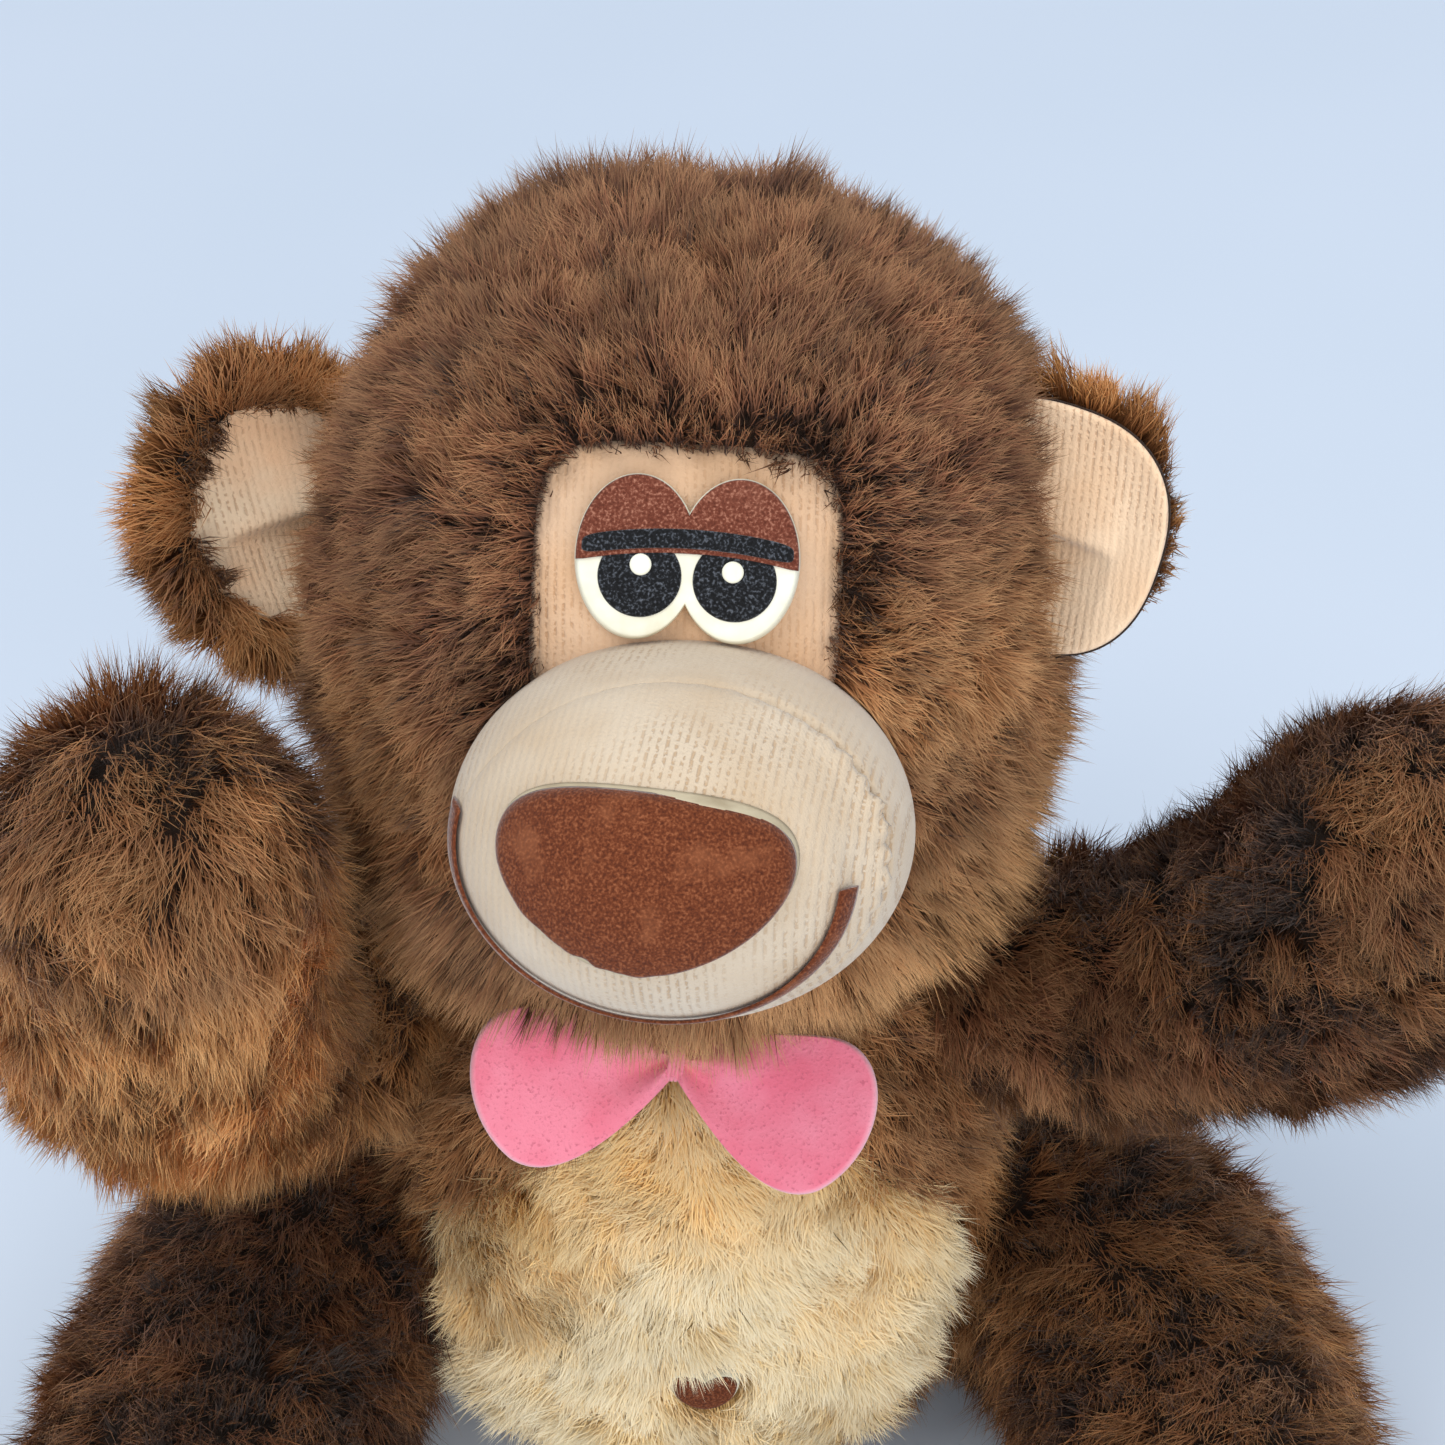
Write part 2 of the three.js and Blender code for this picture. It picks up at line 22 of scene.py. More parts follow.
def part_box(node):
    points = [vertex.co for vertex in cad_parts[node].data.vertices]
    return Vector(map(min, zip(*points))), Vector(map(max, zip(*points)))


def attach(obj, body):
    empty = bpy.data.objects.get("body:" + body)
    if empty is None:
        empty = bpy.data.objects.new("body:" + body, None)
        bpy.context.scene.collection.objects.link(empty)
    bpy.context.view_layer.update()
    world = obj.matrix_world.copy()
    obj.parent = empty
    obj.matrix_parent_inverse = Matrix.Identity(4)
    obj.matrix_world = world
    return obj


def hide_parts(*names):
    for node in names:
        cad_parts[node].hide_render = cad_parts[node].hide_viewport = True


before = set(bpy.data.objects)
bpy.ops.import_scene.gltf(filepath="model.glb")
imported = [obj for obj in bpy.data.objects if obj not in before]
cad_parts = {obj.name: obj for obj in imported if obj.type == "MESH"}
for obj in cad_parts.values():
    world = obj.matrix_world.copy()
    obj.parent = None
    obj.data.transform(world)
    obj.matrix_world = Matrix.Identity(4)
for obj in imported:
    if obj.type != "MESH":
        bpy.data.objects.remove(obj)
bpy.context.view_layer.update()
MM = 0.001

# %% [markdown]
# ## Camera
# The toy is looked at from in front and from 38 degrees above, close enough for its hands and feet to
# leave the frame. A camera is placed by its distance and its angle, and its lens is set by the width
# that it has to take in at the head. It is made first, because the framing decides what detail shows.

# %% Make the camera
VIEW_HEIGHT = math.radians(38.25)
VIEW_DISTANCE = 650 * MM
VIEW_WIDTH = 275 * MM
EYE = (6.2 * MM, -526 * MM, 604 * MM)

lens = bpy.data.cameras.new("studio_camera")
lens.sensor_fit = "HORIZONTAL"
lens.angle = 2 * math.atan(VIEW_WIDTH / 2 / VIEW_DISTANCE)
lens.clip_start = 10 * MM
camera = bpy.data.objects.new("studio_camera", lens)
camera.location = EYE
camera.rotation_euler = (math.pi / 2 - VIEW_HEIGHT, 0, 0)
bpy.context.scene.collection.objects.link(camera)
bpy.context.scene.camera = camera
bpy.context.scene.view_settings.view_transform = "Standard"
print("lens angle in degrees:", round(math.degrees(lens.angle), 1))

# %% [markdown]
# ## Colours and nodes
# Colours are written as hex values, which are sRGB, while a shader wants linear light, so one function
# turns them. A second one adds a node of any kind, sets its properties, fills its inputs with numbers or
# with other nodes' outputs, and gives back one output. Every finish below is written with these two.


# %% Helpers for finishes
def linear(colour):
    """sRGB hex to linear light: a channel c becomes ((c + 0.055) / 1.055) ** 2.4, or c / 12.92 if small."""
    channels = [int(colour[i : i + 2], 16) / 255 for i in (1, 3, 5)]
    return [((c + 0.055) / 1.055) ** 2.4 if c > 0.04045 else c / 12.92 for c in channels] + [1.0]


def node(tree, kind, inputs=None, take=0, stops=(), **settings):
    """Add one node and give back its output called take, or else its first.

    An input is a number, a colour or another node's output. A setting is a property of the node, and
    stops are the (place, hex colour) pairs of a colour ramp.
    """
    made = tree.nodes.new(f"ShaderNode{kind}")
    for name, value in settings.items():
        setattr(made, name, value)
    for name, value in (inputs or {}).items():
        if isinstance(value, bpy.types.NodeSocket):
            tree.links.new(value, made.inputs[name])
        else:
            made.inputs[name].default_value = value
    for i, (place, colour) in enumerate(stops):
        elements = made.color_ramp.elements
        element = elements[i] if i < len(elements) else elements.new(place)
        element.position = place
        element.color = linear(colour)
    return made.outputs[take]


def finish_of(name, **shader):
    """An empty finish: its node tree and its Principled shader, with plain values set on the sockets."""
    made = bpy.data.materials.new(name)
    made.use_nodes = True
    tree = made.node_tree
    surface = tree.nodes["Principled BSDF"]
    for socket, value in shader.items():
        surface.inputs[socket.replace("_", " ")].default_value = value
    return made, tree, surface


# %% [markdown]
# ## The studio
# The floor is one wide pale blue sheet of paper with a barely uneven tone. A large soft panel above and
# to the left gives form, one in front opens the shadows under the head, a weak one rims the crown from
# behind, and the world lights the rest evenly, so shadows stay soft and short.

# %% Floor and light
FLOOR_HALF = 4.0
FLOOR_LINES = 9
FLOOR_HEIGHT = -0.3 * MM
paper, tree, surface = finish_of("matt_backdrop_paper", Roughness=0.95, Specular_IOR_Level=0.1)
at = node(tree, "TexCoord", take="Object")
cloudy = node(tree, "TexNoise", {"Vector": at, "Scale": 1 / (260 * MM), "Detail": 2.0})
tone = node(tree, "ValToRGB", {"Fac": cloudy}, stops=[(0.3, "#cfdbea"), (0.7, "#d3deed")])
tree.links.new(tone, surface.inputs["Base Color"])

across = np.linspace(-FLOOR_HALF, FLOOR_HALF, FLOOR_LINES)
floor_x, floor_y = np.meshgrid(across, across)
floor_points = np.stack([floor_x, floor_y, np.full_like(floor_x, FLOOR_HEIGHT)], -1).reshape(-1, 3)
row, column = np.meshgrid(np.arange(FLOOR_LINES - 1), np.arange(FLOOR_LINES - 1), indexing="ij")
near = (row * FLOOR_LINES + column).ravel()
far = near + FLOOR_LINES
floor_mesh = bpy.data.meshes.new("floor_paper")
floor_mesh.from_pydata(floor_points, [], np.stack([near, near + 1, far + 1, far], 1).tolist())
floor_mesh.materials.append(paper)
floor = bpy.data.objects.new("floor_paper", floor_mesh)
bpy.context.scene.collection.objects.link(floor)

world = bpy.data.worlds.new("pale_room")
world.use_nodes = True
world.node_tree.nodes["Background"].inputs["Color"].default_value = linear("#e4ecf6")
world.node_tree.nodes["Background"].inputs["Strength"].default_value = 0.78
bpy.context.scene.world = world

PANELS = [
    # name, place in m, width in m, watts, colour
    ("key_panel", (-0.7, -0.6, 1.75), 1.1, 12, "#fffaf2"),
    ("front_panel", (0.35, -1.5, 0.75), 1.3, 13, "#fff6ec"),
    ("top_panel", (0.3, 0.5, 1.8), 1.2, 5, "#ffffff"),
]
AIM = (0, -20 * MM, 150 * MM)
for name, at, width, watts, colour in PANELS:
    light = bpy.data.lights.new(name, "AREA")
    light.shape = "DISK"
    light.size = width
    light.energy = watts
    light.color = linear(colour)[:3]
    lamp = bpy.data.objects.new(name, light)
    lamp.location = at
    aim = Vector(AIM) - lamp.location
    lamp.rotation_euler = aim.to_track_quat("-Z", "Y").to_euler()
    bpy.context.scene.collection.objects.link(lamp)
print("panels:", [name for name, *_ in PANELS])

# %% [markdown]
# ## Surfaces as stacks of rings
# A stuffed form, a plate and a limb have one thing in common: each can be cut into rings between two end
# points. So one function closes a stack of rings into a mesh. It measures the volume that it encloses
# and turns the faces round if they point inwards, which is simpler than thinking about each case.


# %% Close a stack of rings
def ring_quads(rows, columns, joined):
    """Faces between neighbouring rings; joined also closes the last ring onto the first."""
    r, c = np.meshgrid(np.arange(rows if joined else rows - 1), np.arange(columns), indexing="ij")
    after, above = (c + 1) % columns, (r + 1) % rows
    corners = [r * columns + c, r * columns + after, above * columns + after, above * columns + c]
    return np.stack(corners, -1).reshape(-1, 4)


def closed(rings, first=None, last=None):
    """Points and faces of rings (rows, columns, 3), with a fan of triangles to one point at each end.

    Without end points the last ring is joined to the first, which makes a hollow band.
    """
    rows, columns = rings.shape[:2]
    points = rings.reshape(-1, 3)
    if first is None:
        return outwards(points, [ring_quads(rows, columns, True), np.zeros((0, 3), int)])
    rim = np.arange(columns)
    after = (rim + 1) % columns
    top = (rows - 1) * columns
    fans = [
        np.stack([np.full(columns, rows * columns), after, rim], 1),
        np.stack([np.full(columns, rows * columns + 1), top + rim, top + after], 1),
    ]
    points = np.concatenate([points, [first], [last]])
    return outwards(points, [ring_quads(rows, columns, False), np.concatenate(fans)])


def triangles_of(faces):
    """Each quad as two triangles, and the triangles as they are."""
    quads, fans = faces
    return np.concatenate([quads[:, [0, 1, 2]], quads[:, [0, 2, 3]], fans])


def outwards(points, faces):
    """The same mesh, turned so that it encloses a positive volume: a sum of a . (b x c) / 6."""
    a, b, c = (points[triangles_of(faces)[:, i]] for i in range(3))
    volume = np.einsum("ij,ij->i", a, np.cross(b, c)).sum() / 6
    return (points, faces) if volume > 0 else (points, [f[:, ::-1] for f in faces])


def carried(points, place):
    """Points after a 4 x 4 matrix."""
    matrix = np.array(place)
    return points @ matrix[:3, :3].T + matrix[:3, 3]


def placed(shape, place):
    """A shape after a 4 x 4 matrix, with the same faces."""
    return carried(shape[0], place), shape[1]


def unit(vectors):
    """Each vector divided by its length."""
    return vectors / np.maximum(np.linalg.norm(vectors, axis=-1, keepdims=True), 1e-9)


def ball(form, around=96, up=64):
    """A form over all directions of a sphere, from its lowest point to its highest."""
    height = np.linspace(-math.pi / 2, math.pi / 2, up + 1)[1:-1, None]
    turn = np.linspace(0, 2 * math.pi, around, endpoint=False)[None, :]
    directions = np.stack(
        [np.cos(height) * np.cos(turn), np.cos(height) * np.sin(turn), np.sin(height) + 0 * turn], -1
    )
    ends = form(np.array([[0, 0, -1.0], [0, 0, 1.0]]))
    return closed(form(directions), ends[0], ends[1])


# %% [markdown]
# ## Making an object
# A piece is a mesh in its place, with its finish, on the body that it moves with. It says which packed
# parts it stands for, and hides them.


# %% Make a piece
def piece(name, shape, finish, body, stands_for=(), smooth=True):
    """A mesh object from points in millimetres and faces, riding on its body."""
    points, faces = shape
    mesh = bpy.data.meshes.new(name)
    mesh.from_pydata((points * MM).tolist(), [], [f for group in faces for f in group.tolist()])
    mesh.polygons.foreach_set("use_smooth", np.full(len(mesh.polygons), smooth))
    mesh.materials.append(finish)
    mesh.validate()
    made = bpy.data.objects.new(name, mesh)
    bpy.context.scene.collection.objects.link(made)
    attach(made, body)
    if stands_for:
        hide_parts(*stands_for)
    print(f"{name}: {len(mesh.polygons)} faces on {body}")
    return made


# %% [markdown]
# ## The forms
# The toy has four kinds of stuffed form. The head is an egg with a narrow crown and broad cheeks, the
# muzzle a squashed ball, the body a full barrel, and each limb a soft tube along a curve. Each has an
# inset in millimetres, which draws its surface in from the tips of the fur to the cloth below.

# %% Forms of the head and the muzzle
HEAD_RADII = np.array([73.0, 70.0, 81.0])
HEAD_PLACE = (
    Matrix.Translation((0, 0, 220))
    @ Matrix.Rotation(math.radians(2.5), 4, "Y")
    @ Matrix.Rotation(math.radians(-2), 4, "Z")
    @ Matrix.Rotation(math.radians(-20), 4, "X")
)
MUZZLE_RADII = np.array([40.0, 44.0, 31.5])
MUZZLE_CENTRE = np.array([0.0, -72.0, -20.5])
MUZZLE_TURN = (
    Matrix.Translation((6, -45, 0))
    @ Matrix.Rotation(math.radians(-9), 4, "Z")
    @ Matrix.Translation((0, 45, 0))
)
MUZZLE_PLACE = HEAD_PLACE @ MUZZLE_TURN
EYES_PLACE = HEAD_PLACE @ Matrix.Translation((0, -60.2, 24)) @ Matrix.Rotation(math.radians(-16), 4, "X")


def egg(height):
    """How the head narrows with height, from -1 to 1: 1 - 0.07 h - 0.02 h^2 above the middle."""
    return 1 - 0.07 * height - 0.02 * np.maximum(height, 0) ** 2


def head_form(directions, inset):
    """An ellipsoid narrowed sideways by egg, in the head's own frame."""
    x, y, z = HEAD_RADII - inset
    return np.stack(
        [x * directions[..., 0] * egg(directions[..., 2]), y * directions[..., 1], z * directions[..., 2]], -1
    )


def head_front(x, z, inset):
    """The head's front at a width and a height: y is minus the depth that the ellipsoid leaves there."""
    radius_x, radius_y, radius_z = (radius - inset for radius in HEAD_RADII)
    height = z / radius_z
    left = 1 - height**2 - (x / (radius_x * egg(height))) ** 2
    return -radius_y * np.sqrt(np.maximum(left, 0))


def muzzle_front(x, z, inset):
    """The muzzle's front at a width and a height, in the muzzle's frame."""
    radius_x, radius_y, radius_z = (radius - inset for radius in MUZZLE_RADII)
    left = 1 - (x / radius_x) ** 2 - ((z - MUZZLE_CENTRE[2]) / radius_z) ** 2
    return MUZZLE_CENTRE[1] - radius_y * np.sqrt(np.maximum(left, 0))


# %% Places of the ears
EARS = {
    # at, lean, turn, half width, half height, lining's share of the cloth, where the fold lies, its depth
    "left": ((-80, 6, 11), -16, 24, 21.0, 25.0, 0.86, -3.0, 4.2),
    "right": ((66.0, -10, 21), 12, -18, 23.0, 23.5, 0.985, -2.0, 5.0),
}


def ear_place(side):
    """At its root on the head, leant sideways and turned about its height."""
    at, lean, turn = EARS[side][:3]
    return (
        HEAD_PLACE
        @ Matrix.Translation(at)
        @ Matrix.Rotation(math.radians(lean), 4, "Y")
        @ Matrix.Rotation(math.radians(turn), 4, "Z")
    )


def in_ear_cup(points):
    """True in the hollow before either ear, where no fur of the head may stand."""
    found = np.zeros(len(points), bool)
    for side in EARS:
        x, y, z = carried(points, ear_place(side).inverted()).T
        half_x, half_z = EARS[side][3:5]
        found |= ((x / (half_x + 1)) ** 2 + (z / half_z) ** 2 < 1) & (np.abs(y + 4) < 11)
    return found


# %% Forms of the body and the limbs
BODY_RADII = np.array([68.0, 57.0, 83.0])
BODY_CENTRE = np.array([0.0, 4.0, 75.0])
BODY_TRIM = 0.985
PEAR = 0.07


def body_form(directions, inset):
    """A barrel: each point lies where |height|^3 + radius^3 is 1, and it narrows upwards by PEAR."""
    height = directions[..., 2:]
    full = (np.abs(height) ** 3 + (1 - height**2) ** 1.5) ** (-1 / 3)
    pear = np.concatenate([1 - PEAR * height, 1 - PEAR * height, np.full_like(height, BODY_TRIM)], -1)
    points = BODY_CENTRE + (BODY_RADII - inset) * directions * full * pear
    points[..., 2] = np.maximum(points[..., 2], 0)
    return points


def in_body(points, inset):
    """True for points inside the barrel: |height|^3 + radius^3 is under 1."""
    across, deep, tall = ((points - BODY_CENTRE) / (BODY_RADII - inset)).T
    tall = tall / BODY_TRIM
    radius = np.hypot(across, deep)
    pear = 1 - PEAR * tall / np.maximum(np.hypot(radius, tall), 1e-6)
    return np.abs(tall) ** 3 + (radius / pear) ** 3 < 1


def body_front(x, z, inset):
    """The barrel's front at a width and a height: radius^3 = 1 - |height|^3 solved for the depth."""
    radius_x, radius_y, radius_z = (radius - inset for radius in BODY_RADII)
    tall = (z - BODY_CENTRE[2]) / radius_z / BODY_TRIM
    radius = np.maximum(1 - np.abs(tall) ** 3, 0) ** (1 / 3)
    pear = 1 - PEAR * tall / np.maximum(np.hypot(radius, tall), 1e-6)
    left = (radius * pear) ** 2 - (x / radius_x) ** 2
    return BODY_CENTRE[1] - radius_y * np.sqrt(np.maximum(left, 0))


LIMBS = {
    "arm_left": ([[-64, 0, 120], [-88, -22, 127], [-99, -47, 158], [-94, -69, 211]], [25, 31, 35, 33]),
    "arm_right": ([[63, 0, 122], [92, -9, 130], [119, -20, 149], [138, -31, 178]], [26, 30, 34, 35]),
    "leg_left": ([[-54, 14, 41], [-86, -10, 41], [-99, -52, 40], [-100, -100, 43]], [34, 40, 40, 42]),
    "leg_right": ([[54, 14, 40], [91, -9, 40], [104, -50, 39], [106, -100, 41]], [33, 39.5, 39, 40]),
}


def middle_line(path, count=60):
    """A smooth curve through the points, at even steps: a centripetal Catmull-Rom spline.

    Between two points it is a cubic whose end slopes weigh the neighbouring chords by the square
    roots of their lengths.
    """
    path = np.array(path, float)
    path = np.concatenate([[2 * path[0] - path[1]], path, [2 * path[-1] - path[-2]]])
    knot = np.linalg.norm(np.diff(path, axis=0), axis=1) ** 0.5
    t = np.linspace(0, 1, 60)[:, None]
    pieces = []
    for i in range(1, len(path) - 2):
        a, b, c, d = path[i - 1 : i + 3]
        before, here, after = knot[i - 1 : i + 2]
        leave = ((b - a) / before - (c - a) / (before + here) + (c - b) / here) * here
        arrive = ((c - b) / here - (d - b) / (here + after) + (d - c) / after) * here
        bend = (3 * (c - b) - 2 * leave - arrive) * t**2 + (2 * (b - c) + leave + arrive) * t**3
        pieces.append(b + leave * t + bend)
    line = np.concatenate([pieces[0], *[p[1:] for p in pieces[1:]]])
    along = np.concatenate([[0], np.cumsum(np.linalg.norm(np.diff(line, axis=0), axis=1))])
    even = np.linspace(0, along[-1], count)
    return np.stack([np.interp(even, along, line[:, k]) for k in range(3)], 1)


def limb(name, inset, around=64):
    """A tube round the limb's middle line with round ends: rings of its radius, square to the line."""
    path, radii = LIMBS[name]
    line = middle_line(path)
    heading = unit(np.gradient(line, axis=0))
    radius = np.interp(np.linspace(0, 3, len(line)), range(4), radii) - inset
    bow = np.radians(np.arange(10, 90, 10))[:, None]
    start = line[0] - heading[0] * radius[0] * np.cos(bow)
    stop = line[-1] + heading[-1] * radius[-1] * np.sin(bow)
    line = np.concatenate([start, line, stop])
    heading = np.pad(heading, ((len(bow), len(bow)), (0, 0)), mode="edge")
    radius = np.concatenate([radius[0] * np.sin(bow[:, 0]), radius, radius[-1] * np.cos(bow[:, 0])])
    upright = np.array([0.15, 0.35, 0.92])
    side = unit(np.cross(heading, upright))
    lift = np.cross(side, heading)
    turn = np.linspace(0, 2 * math.pi, around, endpoint=False)[None, :, None]
    ring = side[:, None] * np.cos(turn) + lift[:, None] * np.sin(turn)
    rings = line[:, None] + ring * radius[:, None, None]
    points, faces = closed(
        rings, line[0] - heading[0] * radius[0] * 0.02, line[-1] + heading[-1] * radius[-1] * 0.02
    )
    points[:, 2] = np.maximum(points[:, 2], 0)
    return points, faces


def near_limb(points, name, inset):
    """True for points closer to the limb's middle line than its radius less the inset."""
    path, radii = LIMBS[name]
    line = middle_line(path, 40)
    radius = np.interp(np.linspace(0, 3, 40), range(4), radii) - inset
    gap = np.linalg.norm(points[:, None] - line[None], axis=2) - radius
    return gap.min(axis=1) < 0


for node_name, shape in [
    ("head_fur", carried(ball(lambda d: head_form(d, 0))[0], HEAD_PLACE)),
    ("arm_fur_left", limb("arm_left", 0)[0]),
    ("leg_fur_right", limb("leg_right", 0)[0]),
]:
    packed = np.array(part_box(node_name)) / MM
    gap = np.abs(packed - [shape.min(0), shape.max(0)]).max()
    print(node_name, "differs from its form by mm:", gap.round(1))

# %% [markdown]
# ## Growing fur
# Long-pile fabric is a knitted backing with fibres standing in it. The fibres cling together in small
# tufts, and handling gathers those into larger locks, so a coat is never even. Here each strand is a
# narrow kite: a root, two points at its widest, and a tip, which is two triangles. Its tip is drawn to
# the middle of its tuft. Tufts are cells of space round scattered points, so they need no list of
# neighbours: each root looks only at the 27 cells about it.


# %% Roots, tufts and combing
def skin_normals(points, triangles):
    """Smooth normals: each face's area vector, added up at its corners."""
    a, b, c = (points[triangles[:, i]] for i in range(3))
    area = np.cross(b - a, c - a)
    total = np.zeros_like(points)
    for i in range(3):
        np.add.at(total, triangles[:, i], area)
    return unit(total)


def roots(shape, count, rng):
    """Places on a skin, evenly by area, with the skin's normal at each."""
    points, faces = shape
    triangles = triangles_of(faces)
    normals = skin_normals(points, triangles)
    a, b, c = (points[triangles[:, i]] for i in range(3))
    size = np.linalg.norm(np.cross(b - a, c - a), axis=1)
    chosen = triangles[np.searchsorted(np.cumsum(size) / size.sum(), rng.random(count) * 0.999999)]
    u, v = rng.random((2, count))
    u, v = np.where(u + v > 1, 1 - u, u), np.where(u + v > 1, 1 - v, v)
    share = np.stack([1 - u - v, u, v], 1)[..., None]
    return (points[chosen] * share).sum(1), unit((normals[chosen] * share).sum(1))


SCATTER = np.array([[127.1, 269.5, 419.2], [311.7, 183.3, 371.9], [74.7, 246.1, 57.3]])


def scattered(cells, seed):
    """Three even random numbers for each whole-number cell, always the same for that cell."""
    mixed = cells @ SCATTER + seed * 17.13
    return (np.sin(mixed) * 43758.5453) % 1


def tufts(points, size, seed):
    """For each point the nearest scattered middle of a tuft, and three random numbers of that tuft."""
    cells = np.floor(points / size)
    nearest = np.full(len(points), np.inf)
    middle = np.zeros_like(points)
    own = np.zeros_like(points)
    for step in itertools.product((-1, 0, 1), repeat=3):
        cell = cells + step
        chance = scattered(cell, seed)
        at = (cell + chance) * size
        gap = ((points - at) ** 2).sum(1)
        closer = gap < nearest
        nearest[closer] = gap[closer]
        middle[closer] = at[closer]
        own[closer] = chance[closer]
    return middle, scattered(own * 91.7, seed + 5)


def wander(points, size, seed):
    """A smooth wavering, mostly within -1 and 1: 1.6 times the mean of five sines in scattered directions."""
    rng = np.random.default_rng(seed)
    heading = unit(rng.normal(size=(5, 3))) * (2 * math.pi / size) * rng.uniform(0.7, 1.4, (5, 1))
    return np.sin(points @ heading.T + rng.uniform(0, 6.28, 5)).mean(1) * 1.6


def along_skin(vectors, normals):
    """What is left of each vector when its part along the normal is taken away."""
    return vectors - (vectors * normals).sum(1, keepdims=True) * normals


def flat_on(vectors, normals):
    """The direction of each vector along the skin, one unit long."""
    return unit(along_skin(vectors, normals))


# %% [markdown]
# A coat takes three steps: scatter and comb the strands, write them into a mesh, and make it a piece.
# The first drops the roots that something covers, combs each strand over by the lean, gathers the
# tufts, and keeps everything above the floor. It works on whole arrays, one row for each strand.


# %% Comb the strands
STRAND_WIDTH = 0.27
RUFFLE = 1.1


def combed(root, normal, rng, comb, seed, length=12.0, lean=0.8, clear=None, lock=12.0, tuft=3.8,
           gather=0.72):
    """Four points for each strand, and its tone: root, two at the widest, and tip.

    A strand leaves along the normal turned by 0.6 of its lean towards the comb direction, and ends turned
    by 1.3 of it. It stands more upright where the comb direction runs into the skin. Its middle and tip
    are drawn towards the tuft's middle by 0.4 and 1.0 of gather, and towards the lock's by less.
    """
    total = len(root)
    lock_at, lock_own = tufts(root, lock, seed)
    tuft_at, tuft_own = tufts(root, tuft, seed + 1)
    own = rng.random((total, 4))
    heading = comb(root, normal)
    lie = flat_on(heading, normal)
    level = np.linalg.norm(np.cross(unit(heading), normal), axis=1)
    twist = RUFFLE * (1.1 * (lock_own[:, 0] - 0.5) + 1.0 * (tuft_own[:, 0] - 0.5) + 0.9 * (own[:, 0] - 0.5))
    twist = twist[:, None]
    lie = lie * np.cos(twist) + np.cross(normal, lie) * np.sin(twist)
    angle = (lean(root) if callable(lean) else lean) * np.clip(1.5 * level, 0.25, 1)
    angle = angle + 0.5 * RUFFLE * (lock_own[:, 1] + tuft_own[:, 1] + own[:, 1] - 1.5)
    angle = angle[:, None]
    reach = length(root) if callable(length) else length
    reach = reach * (0.85 + 0.35 * lock_own[:, 2]) * (0.85 + 0.3 * tuft_own[:, 2]) * (0.72 + 0.4 * own[:, 2])
    reach = reach[:, None]
    low = normal * np.cos(0.6 * angle) + lie * np.sin(0.6 * angle)
    high = normal * np.cos(1.3 * angle) + lie * np.sin(1.3 * angle)
    to_tuft = along_skin(tuft_at - root, normal)
    to_lock = along_skin(lock_at - root, normal)
    middle = root + reach * 0.5 * low + gather * (0.4 * to_tuft + 0.1 * to_lock)
    middle += rng.normal(0, 0.7, root.shape)
    tip = root + reach * (0.5 * low + 0.5 * high) + gather * (1.0 * to_tuft + 0.28 * to_lock)
    tip += rng.normal(0, 0.85, root.shape)
    side = unit(np.cross(tip - root, normal))
    roll = rng.uniform(-0.7, 0.7, (total, 1))
    side = side * np.cos(roll) + normal * np.sin(roll)
    half = side * (STRAND_WIDTH / 2 * (0.75 + 0.5 * own[:, 3]))[:, None]
    points = np.stack([root - 0.6 * normal, middle - half, middle + half, tip], 1)
    if clear is not None:
        points = clear(points.reshape(-1, 3)).reshape(-1, 4, 3)
    points[..., 2] = np.maximum(points[..., 2], 0.05 + 0.8 * own[:, 3:])
    return points, 0.3 * lock_own[:, 1] + 0.45 * tuft_own[:, 1] + 0.25 * own[:, 1]


# %% [markdown]
# Two numbers go with each strand for its colour: in the UV map a tone of its own across and the way from
# root to tip up, and in the attribute "fade_and_painted_light" how far it turns to the faded and lit
# palette, partly for fading and wear and partly as painted light and shade. A flat strand would flash like a
# mirror, so its shading normal leans mostly along the skin's.


# %% Write a coat
def fur_mesh(name, points, normal, tone, fade_and_light_share):
    """Two triangles for each strand, turned to face away from the skin."""
    total = len(points)
    faced = unit(np.cross(points[:, 1] - points[:, 0], points[:, 2] - points[:, 0]))
    away = (faced * normal).sum(1) < 0
    points[away] = points[away][:, [0, 2, 1, 3]]
    faced[away] *= -1
    mesh = bpy.data.meshes.new(name)
    mesh.vertices.add(total * 4)
    mesh.vertices.foreach_set("co", (points * MM).astype(np.float32).ravel())
    order = np.array([0, 1, 2, 1, 3, 2])
    corners = (np.arange(total)[:, None] * 4 + order).ravel().astype(np.int32)
    mesh.loops.add(len(corners))
    mesh.loops.foreach_set("vertex_index", corners)
    mesh.polygons.add(total * 2)
    mesh.polygons.foreach_set("loop_start", np.arange(0, total * 6, 3, dtype=np.int32))
    uv = np.stack([np.repeat(tone, 4), np.tile([0.0, 0.5, 0.5, 1.0], total)], 1)
    layer = mesh.uv_layers.new(name="strand")
    layer.data.foreach_set("uv", uv[corners].astype(np.float32).ravel())
    fade_and_painted_light = np.repeat(np.clip(fade_and_light_share, 0, 1), 4).astype(np.float32)
    mesh.attributes.new("fade_and_painted_light", "FLOAT", "POINT").data.foreach_set("value", fade_and_painted_light)
    soft = np.repeat(unit(normal + 0.8 * faced), 4, axis=0).astype(np.float32)
    mesh.attributes.new("custom_normal", "FLOAT_VECTOR", "POINT").data.foreach_set("vector", soft.ravel())
    mesh.update(calc_edges=True)
    return mesh


